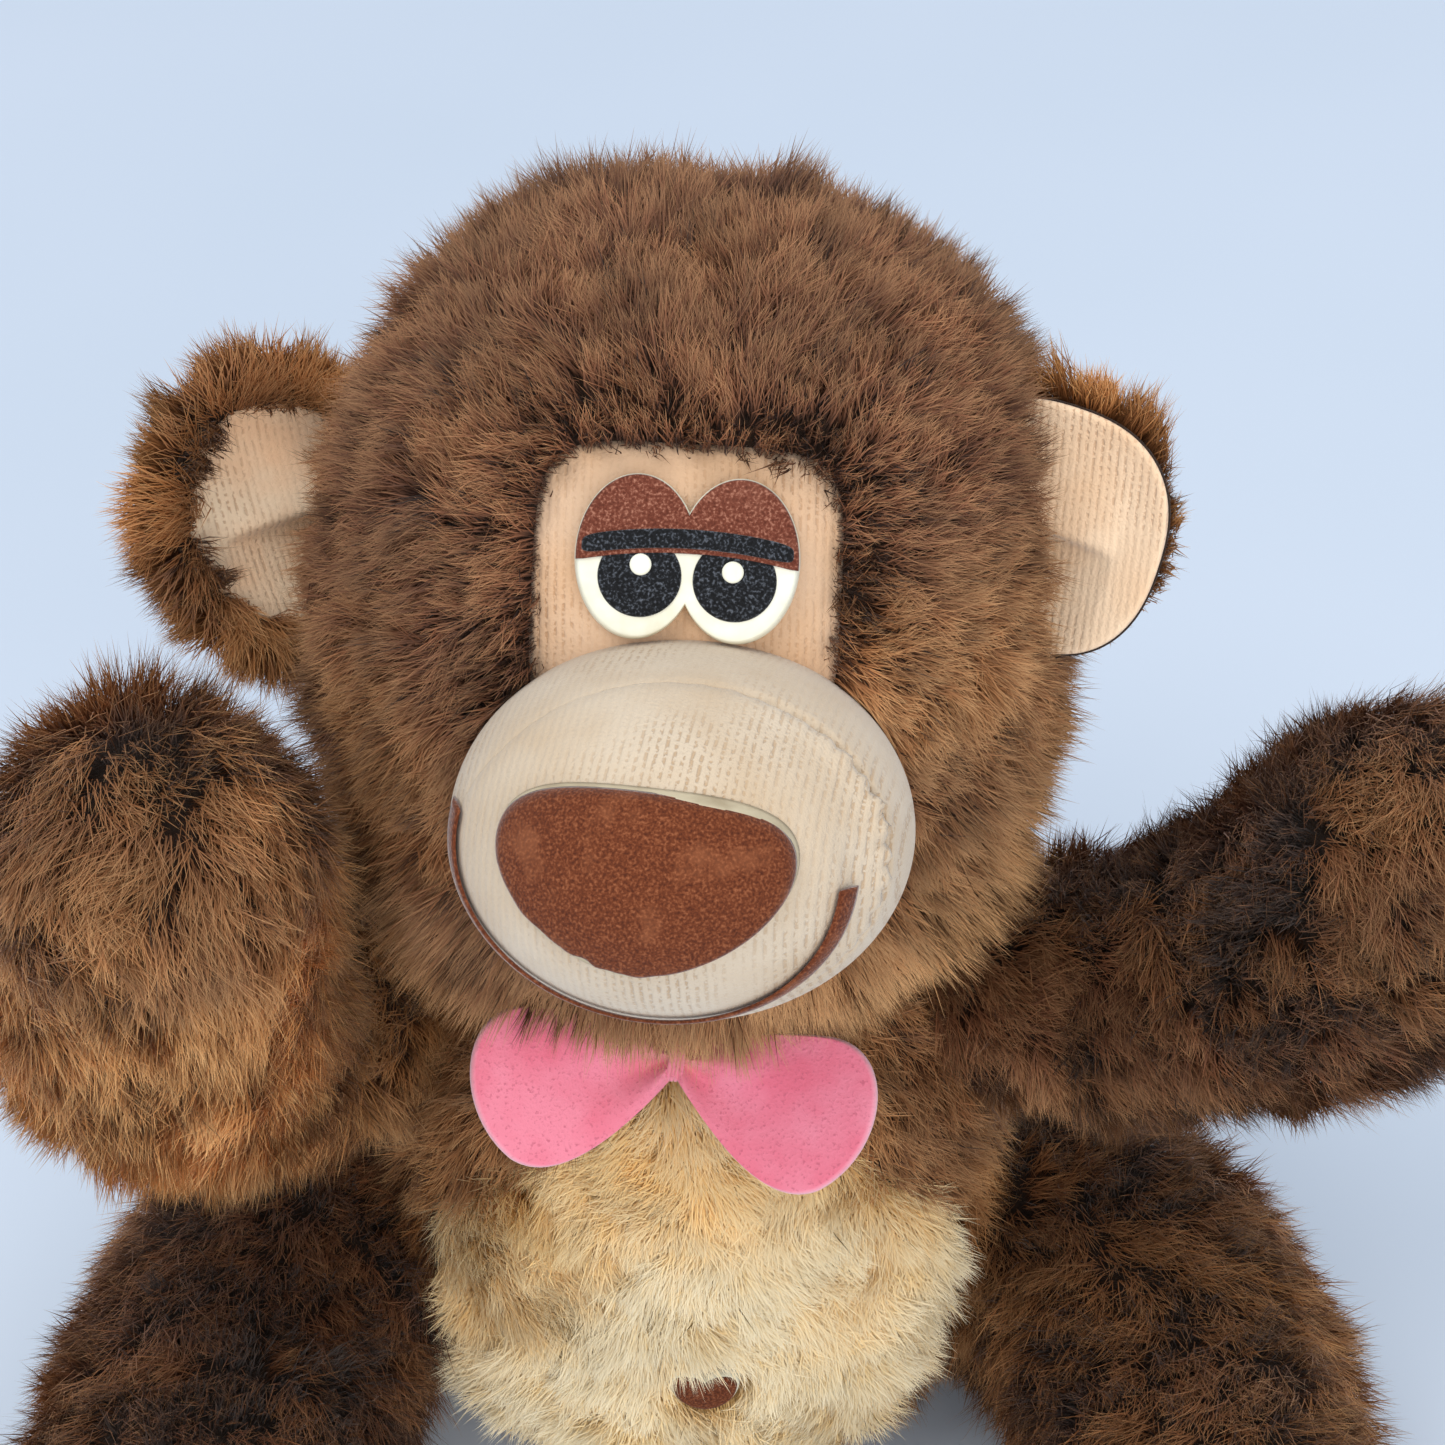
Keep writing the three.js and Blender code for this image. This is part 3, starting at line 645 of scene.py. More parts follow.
def coat(name, shape, count, body, finish, slot, comb, keep, fade_and_painted_light, seed, **combing):
    """A coat of fur on a skin, on the body that it moves with."""
    rng = np.random.default_rng(seed)
    root, normal = roots(shape, count, rng)
    kept = keep(root)
    root, normal = root[kept], normal[kept]
    points, tone = combed(root, normal, rng, comb, seed, **combing)
    mesh = fur_mesh(name, points, normal, tone, fade_and_painted_light(root))
    mesh.materials.append(finish)
    made = bpy.data.objects.new(name, mesh)
    bpy.context.scene.collection.objects.link(made)
    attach(made, body)
    print(f"{name}: {len(root)} strands on {body}")


# %% [markdown]
# ## Fur finishes
# The fur is acrylic: fine, slightly glossy fibres. Each strand runs from dark at the root, which is painted
# shade where the fibres stand close, to pale at the tip, partly where dye has worn and partly painted light
# where light comes through. The strand's own tone makes some locks darker, slow noise makes whole areas
# darker, and "fade_and_painted_light" blends towards the faded and lit palette. Roughness is high and even,
# because a glossy highlight on each flat strand would look like foil.


# %% Acrylic long-pile fur
def fur_finish(name, plain, faded_and_lit_stops, patchy, tonal):
    """Colour by height on the strand, for plain fur and for the faded and lit palette, times tone, times slow
    patches.
    """
    made, tree, surface = finish_of(
        name, Roughness=0.6, Specular_IOR_Level=0.3, Sheen_Weight=0.06, Sheen_Roughness=0.4
    )
    strand = node(tree, "UVMap", uv_map="strand")
    own_tone = node(tree, "SeparateXYZ", {"Vector": strand}, take="X")
    height = node(tree, "SeparateXYZ", {"Vector": strand}, take="Y")
    fade_and_light_amount = node(tree, "Attribute", take="Fac", attribute_name="fade_and_painted_light")
    fresh = node(tree, "ValToRGB", {"Fac": height}, stops=plain)
    pale = node(tree, "ValToRGB", {"Fac": height}, stops=faded_and_lit_stops)
    colour = node(tree, "Mix", {0: fade_and_light_amount, 6: fresh, 7: pale}, take=2, data_type="RGBA")
    tone = node(tree, "MapRange", {"Value": own_tone, "To Min": 1 - tonal, "To Max": 1 + tonal})
    at = node(tree, "TexCoord", take="Object")
    slow = node(tree, "TexNoise", {"Vector": at, "Scale": 1 / (28 * MM), "Detail": 2.0})
    spread = {"Value": slow, "From Min": 0.3, "From Max": 0.7, "To Min": 1 - patchy, "To Max": 1 + patchy}
    patch = node(tree, "MapRange", spread)
    bright = node(tree, "Math", {0: tone, 1: patch}, operation="MULTIPLY")
    toned = node(tree, "VectorMath", {"Vector": colour, "Scale": bright}, operation="SCALE")
    tree.links.new(toned, surface.inputs["Base Color"])
    return made


# Both palettes run darker towards the root as painted shade deep in the pile; the second is the faded and lit
# palette.
BROWN_FUR = fur_finish(
    "brown_acrylic_long_pile",
    [(0.0, "#1a0c06"), (0.35, "#432616"), (0.7, "#7a4d32"), (1.0, "#b2865e")],
    [(0.0, "#4a2810"), (0.35, "#945a2c"), (0.7, "#d6985a"), (1.0, "#fbca8c")],
    0.18,
    0.62,
)
CREAM_FUR = fur_finish(
    "cream_acrylic_long_pile",
    [(0.0, "#e6b05a"), (0.35, "#fcdc9c"), (0.7, "#ffedc4"), (1.0, "#fff6da")],
    [(0.0, "#d09440"), (0.35, "#f6ba5a"), (0.7, "#ffcf78"), (1.0, "#ffe09a")],
    0.03,
    0.14,
)

# %% [markdown]
# The backing is a warp knit, seen only as darkness between the tufts, and the brown one is coloured
# almost black as painted shade there. Its loops are just under a millimetre, so cells of that size raise
# them, and slightly coarser noise mottles the yarn.


# %% Knitted backing
def backing_finish(name, dark, light):
    """Two tones in grains of 1.4 mm, over cells of 0.9 mm for the loops."""
    made, tree, surface = finish_of(name, Roughness=0.95, Sheen_Weight=0.1)
    at = node(tree, "TexCoord", take="Object")
    grain = node(tree, "TexNoise", {"Vector": at, "Scale": 1 / (1.4 * MM), "Detail": 4.0})
    loops = node(tree, "TexVoronoi", {"Vector": at, "Scale": 1 / (0.9 * MM)})
    tone = node(tree, "ValToRGB", {"Fac": grain}, stops=[(0.3, dark), (0.7, light)])
    relief = node(tree, "Bump", {"Height": loops, "Distance": 0.3 * MM})
    tree.links.new(tone, surface.inputs["Base Color"])
    tree.links.new(relief, surface.inputs["Normal"])
    return made


# The brown backing's near-black tones are painted shade between the tufts.
SHADED_BROWN_BACKING = backing_finish("brown_warp_knit_backing_painted_shade", "#21130c", "#33200f")
CREAM_BACKING = backing_finish("cream_warp_knit_backing", "#b58d56", "#cfae7a")

# %% [markdown]
# ## The head
# The head is a stuffed fur ball. Its backing lies about 9 mm below the tips of the pile, and bulges over
# the temples, where the stuffing is packed hardest. The pile was brushed away from the face, so each
# strand leaves the middle of the face, and behind the ears it hangs. Where the muzzle is sewn on, strands
# that would grow through it are pushed out to its surface, which is what the cloth does to them.

# %% Head skin
FACE_HALF, FACE_TALL = 25.5, 24.5
FACE_MIDDLE = 16.0
FACE_SEAM = 1.5
PILE_OVERLAP = 0.6
TO_HEAD = HEAD_PLACE.inverted()
TO_MUZZLE = MUZZLE_PLACE.inverted()


def temple_bulge(directions):
    """How far the crown's sides stand out: two soft hills, one at each temple."""
    aside = np.abs(directions[..., 0]) - 0.6
    above = directions[..., 2] - 0.62
    return 5.5 * np.exp(-(aside**2 + above**2) / 0.14)


def head_skin_form(directions):
    """The head form drawn in by 8.5 mm, plus the bulge along each direction."""
    return head_form(directions, 8.5) + directions * temple_bulge(directions)[..., None]


def in_head(points, inset):
    """True for points inside the egg."""
    local = carried(points, TO_HEAD)
    x, y, z = (local / (HEAD_RADII - inset)).T
    return (x / egg(z)) ** 2 + y**2 + z**2 < 1


def in_face_window(points, room):
    """True in the window that is cut for the knitted face: a squared oval on the front of the head."""
    local = carried(points, TO_HEAD)
    x = np.abs(local[:, 0]) / (FACE_HALF + room)
    z = np.abs(local[:, 2] - FACE_MIDDLE) / (FACE_TALL + room)
    return (x**5 + z**5 < 1) & (local[:, 1] < 0)


def muzzle_depth(points, room):
    """Where points lie in the muzzle: its local direction scaled so that 1 is on the surface plus room."""
    local = carried(points, TO_MUZZLE)
    scaled = (local - MUZZLE_CENTRE) / (MUZZLE_RADII + room)
    return scaled, np.linalg.norm(scaled, axis=1), local[:, 1]


def clear_of_muzzle(points):
    """Points inside the muzzle moved straight out to its surface."""
    scaled, depth, along = muzzle_depth(points, 0.4)
    inside = (depth < 1) & (along < -40)
    out = MUZZLE_CENTRE + scaled[inside] / np.maximum(depth[inside], 0.2)[:, None] * (MUZZLE_RADII + 0.4)
    points = points.copy()
    points[inside] = carried(out, MUZZLE_PLACE)
    return points


head_shape = placed(ball(head_skin_form), HEAD_PLACE)
head_skin = piece(
    "head_backing", head_shape, SHADED_BROWN_BACKING, "head", stands_for=["head_fur", "head_stuffing"]
)

# %% Head coat
FACE_POINT = carried(np.array([[0.0, -66.0, 12.0]]), HEAD_PLACE)[0]


def head_comb(root, normal):
    """Away from the middle of the face, with a droop that grows towards the back."""
    back = np.clip((root[:, 1] + 10) / 60, 0, 1)[:, None]
    return unit(root - FACE_POINT) * (1 - 0.6 * back) + np.array([0, 0, -1.0]) * (0.3 + 0.7 * back)


def head_region(upper, front):
    """Roots on the crown or the cheeks, or behind them, clear of the face, the muzzle and the neck."""

    def keep(root):
        """The wanted region of the head, less whatever covers the skin."""
        local = carried(root, TO_HEAD)
        ahead = local[:, 1] < 12
        above = local[:, 2] > 14
        region = ahead & (above if upper else ~above) if front else ~ahead
        bare = in_face_window(root, -PILE_OVERLAP) | (muzzle_depth(root, 0)[1] < 1)
        return region & ~(bare | in_body(root, 8) | in_ear_cup(root))

    return keep


def head_length(root):
    """12.4 mm on the crown, trimmed to 9 mm round the face, and up to 6.5 mm longer under the chin."""
    near = np.linalg.norm(root - FACE_POINT, axis=1)
    local = carried(root, TO_HEAD)
    chin = np.clip((-28 - local[:, 2]) / 16, 0, 1) * (local[:, 1] < 0)
    return 9.0 + 3.4 * np.clip((near - 30) / 40, 0, 1) + 6.5 * chin


def head_lean(root):
    """Nearly upright at the edge of the face window, and combed over further away."""
    local = carried(root, TO_HEAD)
    x = np.abs(local[:, 0]) / FACE_HALF
    z = np.abs(local[:, 2] - FACE_MIDDLE) / FACE_TALL
    from_window = ((x**5 + z**5) ** 0.2 - 1) * FACE_HALF
    chin = np.clip((-28 - local[:, 2]) / 16, 0, 1)
    return np.where(local[:, 1] < 0, 0.05 + 0.7 * np.clip(from_window / 12, 0, 1) - 0.4 * chin, 0.75)


def head_paling(root):
    """The cheek and chin are paler, most of all to the right of the muzzle."""
    local = carried(root, TO_HEAD)
    low = np.clip((5 - local[:, 2]) / 45, 0, 1)
    right = np.clip(local[:, 0] / 30, 0, 1)
    return 0.22 * low + 0.22 * right * np.clip((35 - local[:, 2]) / 30, 0, 1) + 0.1 * wander(root, 60, 4)


for part, strands, upper, front in [
    ("crown", 320000, True, True),
    ("cheeks", 320000, False, True),
    ("nape", 120000, False, False),
]:
    coat(
        f"head_pile_{part}", head_shape, strands, "head", BROWN_FUR, "brown_fur", head_comb,
        length=head_length, lean=head_lean, seed=11, keep=head_region(upper, front), fade_and_painted_light=head_paling,
        clear=clear_of_muzzle,
    )

# %% [markdown]
# ## Knitted cloth
# The face, the muzzle and the ears are lined with a brushed knit, such as polar fleece cut thin. It is
# stretched over stuffing, so its ribs open and the rows of stitches show as short dark dashes about
# 1.5 mm apart, with a soft fuzz over them. A wave across the ribs gives the rows, and noise of just under
# a millimetre breaks them into dashes. Slow noise lets the dashes show only where the cloth is stretched
# most, and finer noise is the fuzz. Ribs, stitches and fuzz are in relief too. The turn lines the ribs up
# with the cut.


# %% Brushed knit
def knit_finish(name, light, shade, dash, turn, rib=1.5):
    """Two tones in areas of 17 mm, darker in the open stitches, with relief from ribs, stitches and fuzz."""
    made, tree, surface = finish_of(
        name, Roughness=0.9, Specular_IOR_Level=0.2, Sheen_Weight=0.35, Sheen_Roughness=0.5
    )
    laid = node(tree, "TexCoord", take="Object")
    at = node(tree, "Mapping", {"Vector": laid, "Rotation": (0, 0, math.radians(-turn))})
    waves = {"Vector": at, "Scale": math.tau / 20 / (rib * MM), "Distortion": 1.0, "Detail": 1.0}
    waves["Detail Scale"] = 0.6
    rows = node(tree, "TexWave", waves, take="Fac", bands_direction="X")
    drawn = node(tree, "Mapping", {"Vector": at, "Scale": (1 / (0.8 * MM), 1 / (0.9 * MM), 1 / (0.9 * MM))})
    broken = node(tree, "TexNoise", {"Vector": drawn, "Scale": 1.0, "Detail": 1.0})
    pulled = node(tree, "TexNoise", {"Vector": at, "Scale": 1 / (24 * MM), "Detail": 1.0})
    open_rows = node(tree, "MapRange", {"Value": rows, "From Min": 0.5, "From Max": 0.1, "To Max": 0.6})
    open_dash = node(tree, "MapRange", {"Value": broken, "From Min": 0.44, "From Max": 0.56})
    where = node(tree, "MapRange", {"Value": pulled, "From Min": 0.38, "From Max": 0.6, "To Min": 0.12})
    stitch = node(tree, "Math", {0: open_rows, 1: open_dash}, operation="MULTIPLY")
    stitch = node(tree, "Math", {0: stitch, 1: where}, operation="MULTIPLY")
    fuzz = node(tree, "TexNoise", {"Vector": at, "Scale": 1 / (0.55 * MM), "Detail": 3.0})
    uneven = node(tree, "TexNoise", {"Vector": at, "Scale": 1 / (17 * MM), "Detail": 3.0})
    tone = node(tree, "ValToRGB", {"Fac": uneven}, stops=[(0.3, shade), (0.65, light)])
    dashed = node(tree, "Mix", {0: stitch, 6: tone, 7: linear(dash)}, take=2, data_type="RGBA")
    ribbed = node(tree, "Math", {0: rows, 1: 0.3, 2: fuzz}, operation="MULTIPLY_ADD")
    height = node(tree, "Math", {0: ribbed, 1: stitch}, operation="SUBTRACT")
    relief = node(tree, "Bump", {"Height": height, "Distance": 0.34 * MM, "Strength": 0.7})
    tree.links.new(dashed, surface.inputs["Base Color"])
    tree.links.new(relief, surface.inputs["Normal"])
    return made


FACE_KNIT = knit_finish("brushed_knit_peach", "#e2c1a2", "#d9b28d", "#b98a63", -2)
MUZZLE_KNIT = knit_finish("brushed_knit_cream", "#d2c1aa", "#c8b296", "#b08d66", -11)

# %% [markdown]
# ## Plates and patches
# A patch, a moulded plate and a layer of flock are all flat outlines laid on something. So one function
# finds an outline, by walking out from a middle point in every direction until it leaves the shape, and
# one makes a plate of it: the outline shrunk towards the middle in rings, raised at each ring, and
# closed by the same rings at the back. The raise falls to nothing at the rim in a quarter round.


# %% Outlines and plates
def outline(inside, middle, reach, count=240, squeeze=1.0):
    """Points where straight lines from the middle leave a shape: halving the last gap 30 times."""
    turn = np.linspace(0, 2 * math.pi, count, endpoint=False)
    heading = unit(np.stack([np.cos(turn), squeeze * np.sin(turn)], 1))
    near, far = np.zeros(count), np.full(count, float(reach))
    for _ in range(30):
        half = (near + far) / 2
        within = inside(*(middle + heading * half[:, None]).T)
        near, far = np.where(within, half, near), np.where(within, far, half)
    return middle + heading * near[:, None]


def bezier(points, count=40):
    """A cubic curve through its first and last point, pulled towards the two between."""
    t = np.linspace(0, 1, count, endpoint=False)[:, None]
    a, b, c, d = (np.array(p, float) for p in points)
    return a * (1 - t) ** 3 + 3 * b * t * (1 - t) ** 2 + 3 * c * t**2 * (1 - t) + d * t**3


ROUND_RINGS = 5


def plate(rim, middle, lay, height, round_off, under=0.0, rings=12):
    """A closed plate: lay(x, z, raise) puts each flat point in space.

    The raise is the height up to 1 - round_off of the way out, then height * sqrt(1 - u^2), where u goes
    from 0 to 1 over the rest. The back lies at the raise called under.
    """
    flat = np.linspace(0.08, 1 - round_off, rings)
    bend = np.linspace(0, math.pi / 2, ROUND_RINGS + 1)[1:]
    out = np.concatenate([flat, 1 - round_off + round_off * np.sin(bend), flat[::-1]])
    fall = under + (height - under) * np.cos(bend)
    lift = np.concatenate([np.full(rings, height), fall, np.full(rings, under)])
    across = middle + out[:, None, None] * (rim - middle)[None]
    rows = lay(across[..., 0], across[..., 1], np.broadcast_to(lift[:, None], across.shape[:2]))
    top = lay(np.array([middle[0]]), np.array([middle[1]]), np.array([height]))[0]
    base = lay(np.array([middle[0]]), np.array([middle[1]]), np.array([under]))[0]
    return closed(rows, top, base)


# %% Knitted face patch
def on_face(x, z, lift):
    """On the head's skin, bulge and all, raised from 8 mm inside the front."""
    heading = np.stack([x / HEAD_RADII[0], 0 * x, z / HEAD_RADII[2]], -1)
    return np.stack([x, head_front(x, z, 8.0 - lift - 0.9 * temple_bulge(heading)), z], -1)


def in_face_panel(x, z):
    """The window's squared oval, wider by the seam all round: |x|^5 + |z|^5 under 1."""
    wide, tall = FACE_HALF + FACE_SEAM, FACE_TALL + FACE_SEAM
    return (np.abs(x) / wide) ** 5 + (np.abs(z - FACE_MIDDLE) / tall) ** 5 < 1


panel_middle = np.array([0, FACE_MIDDLE])
face_rim = outline(in_face_panel, panel_middle, 60)
face_panel = plate(face_rim, panel_middle, on_face, 1.5, 0.05, under=-0.8, rings=16)
piece(
    "face_knit_panel",
    placed(face_panel, HEAD_PLACE),
    FACE_KNIT,
    "head",
    stands_for=["face_patch"],
)

# %% [markdown]
# ## Moulded eyes
# Both eyes are one moulded plate of cream ABS, two ovals run together, with posts through the cloth. Its
# upper part is flocked brown for the drooping lid, a black band is flocked across it for lashes, and the
# pupils are flocked black round a bare dot. Flock is short fibre shot onto glue: it has no gloss, a
# clear edge, and pale specks where single fibres catch light.


# %% Finishes of the plates
def flock_finish(name, body_colour, speck, dark, worn=0.0):
    """Noise of 0.5 mm grains in three colours, with its own relief; worn adds rubbed patches."""
    made, tree, surface = finish_of(
        name, Roughness=0.88, Specular_IOR_Level=0.25, Sheen_Weight=0.5, Sheen_Roughness=0.35
    )
    at = node(tree, "TexCoord", take="Object")
    grain = node(tree, "TexNoise", {"Vector": at, "Scale": 1 / (0.5 * MM), "Detail": 4.0})
    fibre = node(tree, "ValToRGB", {"Fac": grain}, stops=[(0.3, dark), (0.52, body_colour), (0.72, speck)])
    areas = node(tree, "TexNoise", {"Vector": at, "Scale": 1 / (9 * MM), "Detail": 4.0})
    rubbed = node(tree, "MapRange", {"Value": areas, "From Min": 0.58, "From Max": 0.7, "To Max": worn})
    colour = node(tree, "Mix", {0: rubbed, 6: fibre, 7: linear(speck)}, take=2, data_type="RGBA")
    relief = node(tree, "Bump", {"Height": grain, "Distance": 0.22 * MM, "Strength": 0.8})
    tree.links.new(colour, surface.inputs["Base Color"])
    tree.links.new(relief, surface.inputs["Normal"])
    return made


def moulded_finish(name, light, grimy, roughness):
    """Injection-moulded ABS: an even satin gloss, with fine texture and a little grime in broad patches."""
    made, tree, surface = finish_of(name, Roughness=roughness, IOR=1.53, Coat_Weight=0.15, Coat_Roughness=0.3)
    at = node(tree, "TexCoord", take="Object")
    grime = node(tree, "TexNoise", {"Vector": at, "Scale": 1 / (6 * MM), "Detail": 5.0})
    tone = node(tree, "ValToRGB", {"Fac": grime}, stops=[(0.35, light), (0.75, grimy)])
    texture = node(tree, "TexNoise", {"Vector": at, "Scale": 1 / (0.8 * MM), "Detail": 2.0})
    relief = node(tree, "Bump", {"Height": texture, "Distance": 0.03 * MM})
    tree.links.new(tone, surface.inputs["Base Color"])
    tree.links.new(relief, surface.inputs["Normal"])
    return made


CREAM_ABS = moulded_finish("moulded_abs_cream", "#f1f2e2", "#dfdcc4", 0.38)
# The nose plate's ABS is the eyes' cream, darkened to buff as painted shade on its rim.
NOSE_ABS_SHADED = moulded_finish("moulded_abs_cream_painted_shade", "#cdc0a2", "#a8987a", 0.45)
NYLON = moulded_finish("moulded_nylon_washer", "#efefe9", "#dcdcd4", 0.5)
NOSE_FLOCK = flock_finish("brown_nylon_flock", "#6a3419", "#925737", "#4a1f0c", 0.45)
LID_FLOCK = flock_finish("red_brown_nylon_flock", "#703a2a", "#aa7560", "#552719", 0.1)
BLACK_FLOCK = flock_finish("black_nylon_flock", "#15171b", "#5a6069", "#07080a")


# %% Eye plate, lid, lashes and pupils
LOBE_X = 8.8
LOBE = (10.6, 14.2)
PLATE_HEIGHT = 2.0
PUPILS = {"left": (-8.0, (-7.9, -1.4)), "right": (8.3, (7.9, -1.9))}


def in_lobes(x, z, room=0.0):
    """Inside either of two upright ovals."""
    wide, tall = LOBE[0] + room, LOBE[1] + room
    return (((np.abs(x) - LOBE_X) / wide) ** 2 + (z / tall) ** 2 < 1) | (
        ((np.abs(x) + LOBE_X) / wide) ** 2 + (z / tall) ** 2 < 1
    )


def lid_edge(x):
    """The lid's lower edge: an arc that falls 2 mm towards its ends."""
    return 0.8 - 2.0 * (x / 19) ** 2


def on_eyes(x, z, lift):
    """On the eye plate's own plane, crowned by 1.6 mm so that it follows the forehead."""
    crown = 1.6 * (1 - (x / 21) ** 2)
    return np.stack([x, -lift - crown, z], -1)


def on_plate(x, z, lift):
    """On top of the eye plate."""
    return on_eyes(x, z, lift + PLATE_HEIGHT)


eye_pieces = [
    ("eye_plate_moulding", lambda x, z: in_lobes(x, z), (0, 0), on_eyes, PLATE_HEIGHT, 0.05, CREAM_ABS,
     "plate_plastic", ["eye_plate"]),
    ("eyelid_flocking", lambda x, z: in_lobes(x, z, -0.25) & (z > lid_edge(x)), (0, 6), on_plate, 0.7, 0.04,
     LID_FLOCK, "brown_flock", ["eyelid_flock"]),
]
for name, inside, middle, lay, height, edge, material, slot, nodes in eye_pieces:
    middle = np.array(middle, float)
    moulded = plate(outline(inside, middle, 40, 320), middle, lay, height, edge)
    piece(name, placed(moulded, EYES_PLACE), material, "head", stands_for=nodes)


LASH_HALF, LASH_TALL = 18.2, 1.65
LASH_MIDDLE = np.array([0, 3.3])


def in_lash(x, z):
    """A band 3.3 mm deep that follows the lid's edge 0.9 mm above it, with rounded ends."""
    middle = lid_edge(x) + 0.9 + LASH_TALL
    return ((z - middle) / LASH_TALL) ** 4 + (x / LASH_HALF) ** 12 < 1


def on_lid(x, z, lift):
    """On the lid's flock, which the band sinks into by 0.2 mm."""
    return on_plate(x, z, lift + 0.5)


lash_rim = outline(in_lash, LASH_MIDDLE, 30, 360, squeeze=0.3)
piece(
    "lash_band_flocking",
    placed(plate(lash_rim, LASH_MIDDLE, on_lid, 0.55, 0.03), EYES_PLACE),
    BLACK_FLOCK,
    "head",
    stands_for=["lash_band_flock"],
)
for side, (pupil_x, dot) in PUPILS.items():
    rim = outline(
        lambda x, z: (((x - pupil_x) / 7.2) ** 2 + ((z + 3.4) / 7.0) ** 2 < 1) & (z < lid_edge(x) + 0.4),
        np.array([pupil_x, -3.5]),
        20,
    )
    piece(
        f"pupil_flocking_{side}",
        placed(plate(rim, np.array([pupil_x, -3.5]), on_plate, 0.6, 0.08), EYES_PLACE),
        BLACK_FLOCK,
        "head",
        stands_for=[f"pupil_flock_{side}"],
    )
    rim = outline(lambda x, z: np.hypot(x - dot[0], z - dot[1]) < 2.05, np.array(dot), 5, 48)
    piece(
        f"eye_highlight_boss_{side}",
        placed(plate(rim, np.array(dot), on_plate, 0.85, 0.3, rings=4), EYES_PLACE),
        CREAM_ABS,
        "head",
    )

# %% [markdown]
# ## The muzzle
# The muzzle is a stuffed cap of knit: a domed front panel sewn to a side gusset. The seam pulls the
# cloth in to a groove, and the seam allowance behind it lifts a low welt in front. A form turned about
# the muzzle's axis gives both: a squashed ball whose rings are drawn in and let out near the seam.

# %% Muzzle panels
SEAM_AT = -92.0
KNIT_THICK = 2.2


def muzzle_rings(along, inset, around=160):
    """Rings about the muzzle's axis at the given depths, drawn in at the seam and let out beside it.

    The seam wanders: it lies up to 9 mm further back above the toy's left cheek, and is pulled tight
    there, and lies flat elsewhere. So the rings shift with it, by less and less away from the seam.
    """
    radius_x, radius_y, radius_z = MUZZLE_RADII - inset
    turn = np.linspace(0, 2 * math.pi, around, endpoint=False)[None, :]
    seam_shift = 9.0 * np.clip(np.cos(turn - 0.9), 0, 1) - 1.5 * np.clip(np.cos(turn + 0.6), 0, 1)
    from_seam = (along - SEAM_AT)[:, None]
    follow = np.exp(-((from_seam / 14) ** 2)) * np.clip((along[:, None] + 104) / 6, 0, 1)
    along = along[:, None] + seam_shift * follow
    reach = np.sqrt(np.maximum(1 - ((along - MUZZLE_CENTRE[1]) / radius_y) ** 2, 0))
    tight = 0.06 + 1.25 * np.exp(-((((turn + 0.75) % (2 * math.pi) - 1.1) / 0.62) ** 2))
    draw = -2.8 * np.exp(-((from_seam / 1.0) ** 2)) + 1.4 * np.exp(-(((from_seam + 2.8) / 1.9) ** 2))
    fold_here = np.exp(-((((turn + 0.75) % (2 * math.pi) - 0.9) / 0.3) ** 2))
    fold = -0.9 * np.exp(-(((from_seam + 7.5) / 1.1) ** 2)) * fold_here
    pucker = tight * draw * (1 + 0.45 * np.sin(46 * turn) + 0.2 * np.sin(17 * turn + 1)) + fold
    x = (radius_x * reach + pucker) * np.cos(turn)
    z = MUZZLE_CENTRE[2] + (radius_z * reach + pucker) * np.sin(turn)
    return np.stack([x, np.broadcast_to(along, x.shape), z], -1)


tip = MUZZLE_CENTRE[1] - MUZZLE_RADII[1]
swing = np.radians(np.linspace(4, 63, 40))
outer = MUZZLE_CENTRE[1] - MUZZLE_RADII[1] * np.cos(swing)
outer = outer[outer < SEAM_AT]
outer = np.concatenate([outer, np.linspace(outer[-1], SEAM_AT - 0.03, 8)[1:]])
inner = np.linspace(SEAM_AT - 0.03, tip + KNIT_THICK + 0.4, 14)
front_rows = np.concatenate([muzzle_rings(outer, 0), muzzle_rings(inner, KNIT_THICK)])
front_panel = closed(
    front_rows, [0, tip, MUZZLE_CENTRE[2]], [0, tip + KNIT_THICK, MUZZLE_CENTRE[2]]
)
muzzle_cloth = piece(
    "muzzle_front_panel",
    placed(front_panel, MUZZLE_PLACE),
    MUZZLE_KNIT,
    "head",
    stands_for=["muzzle_front", "muzzle_stuffing"],
)
outer = np.concatenate([np.linspace(SEAM_AT + 0.03, SEAM_AT + 4, 10), np.linspace(SEAM_AT + 5, -42, 24)])
gusset_rows = np.concatenate([muzzle_rings(outer, 0), muzzle_rings(outer[::-3], KNIT_THICK)])
gusset = piece(
    "muzzle_side_gusset",
    placed(closed(gusset_rows), MUZZLE_PLACE),
    MUZZLE_KNIT,
    "head",
    stands_for=["muzzle_gusset"],
)

# %% [markdown]
# The nose is a domed plate of cream ABS with its front flocked brown. The flock stops short of the rim
# where it was masked, most at the lower left, and is rubbed on the right. It is the same plate function,
# laid on the muzzle. The mouth is a flocked strip that is broad at the corners and thin in the middle: a
# flat ring carried along an arc.


# %% Nose and mouth
NOSE_MIDDLE = np.array([0.0, MUZZLE_CENTRE[2] + 4])
NOSE_HALF, NOSE_TALL = 25.0, 15.0


def on_muzzle(x, z, lift):
    """Raised straight out of the muzzle's front."""
    return np.stack([x, muzzle_front(x, z, -lift), z], -1)


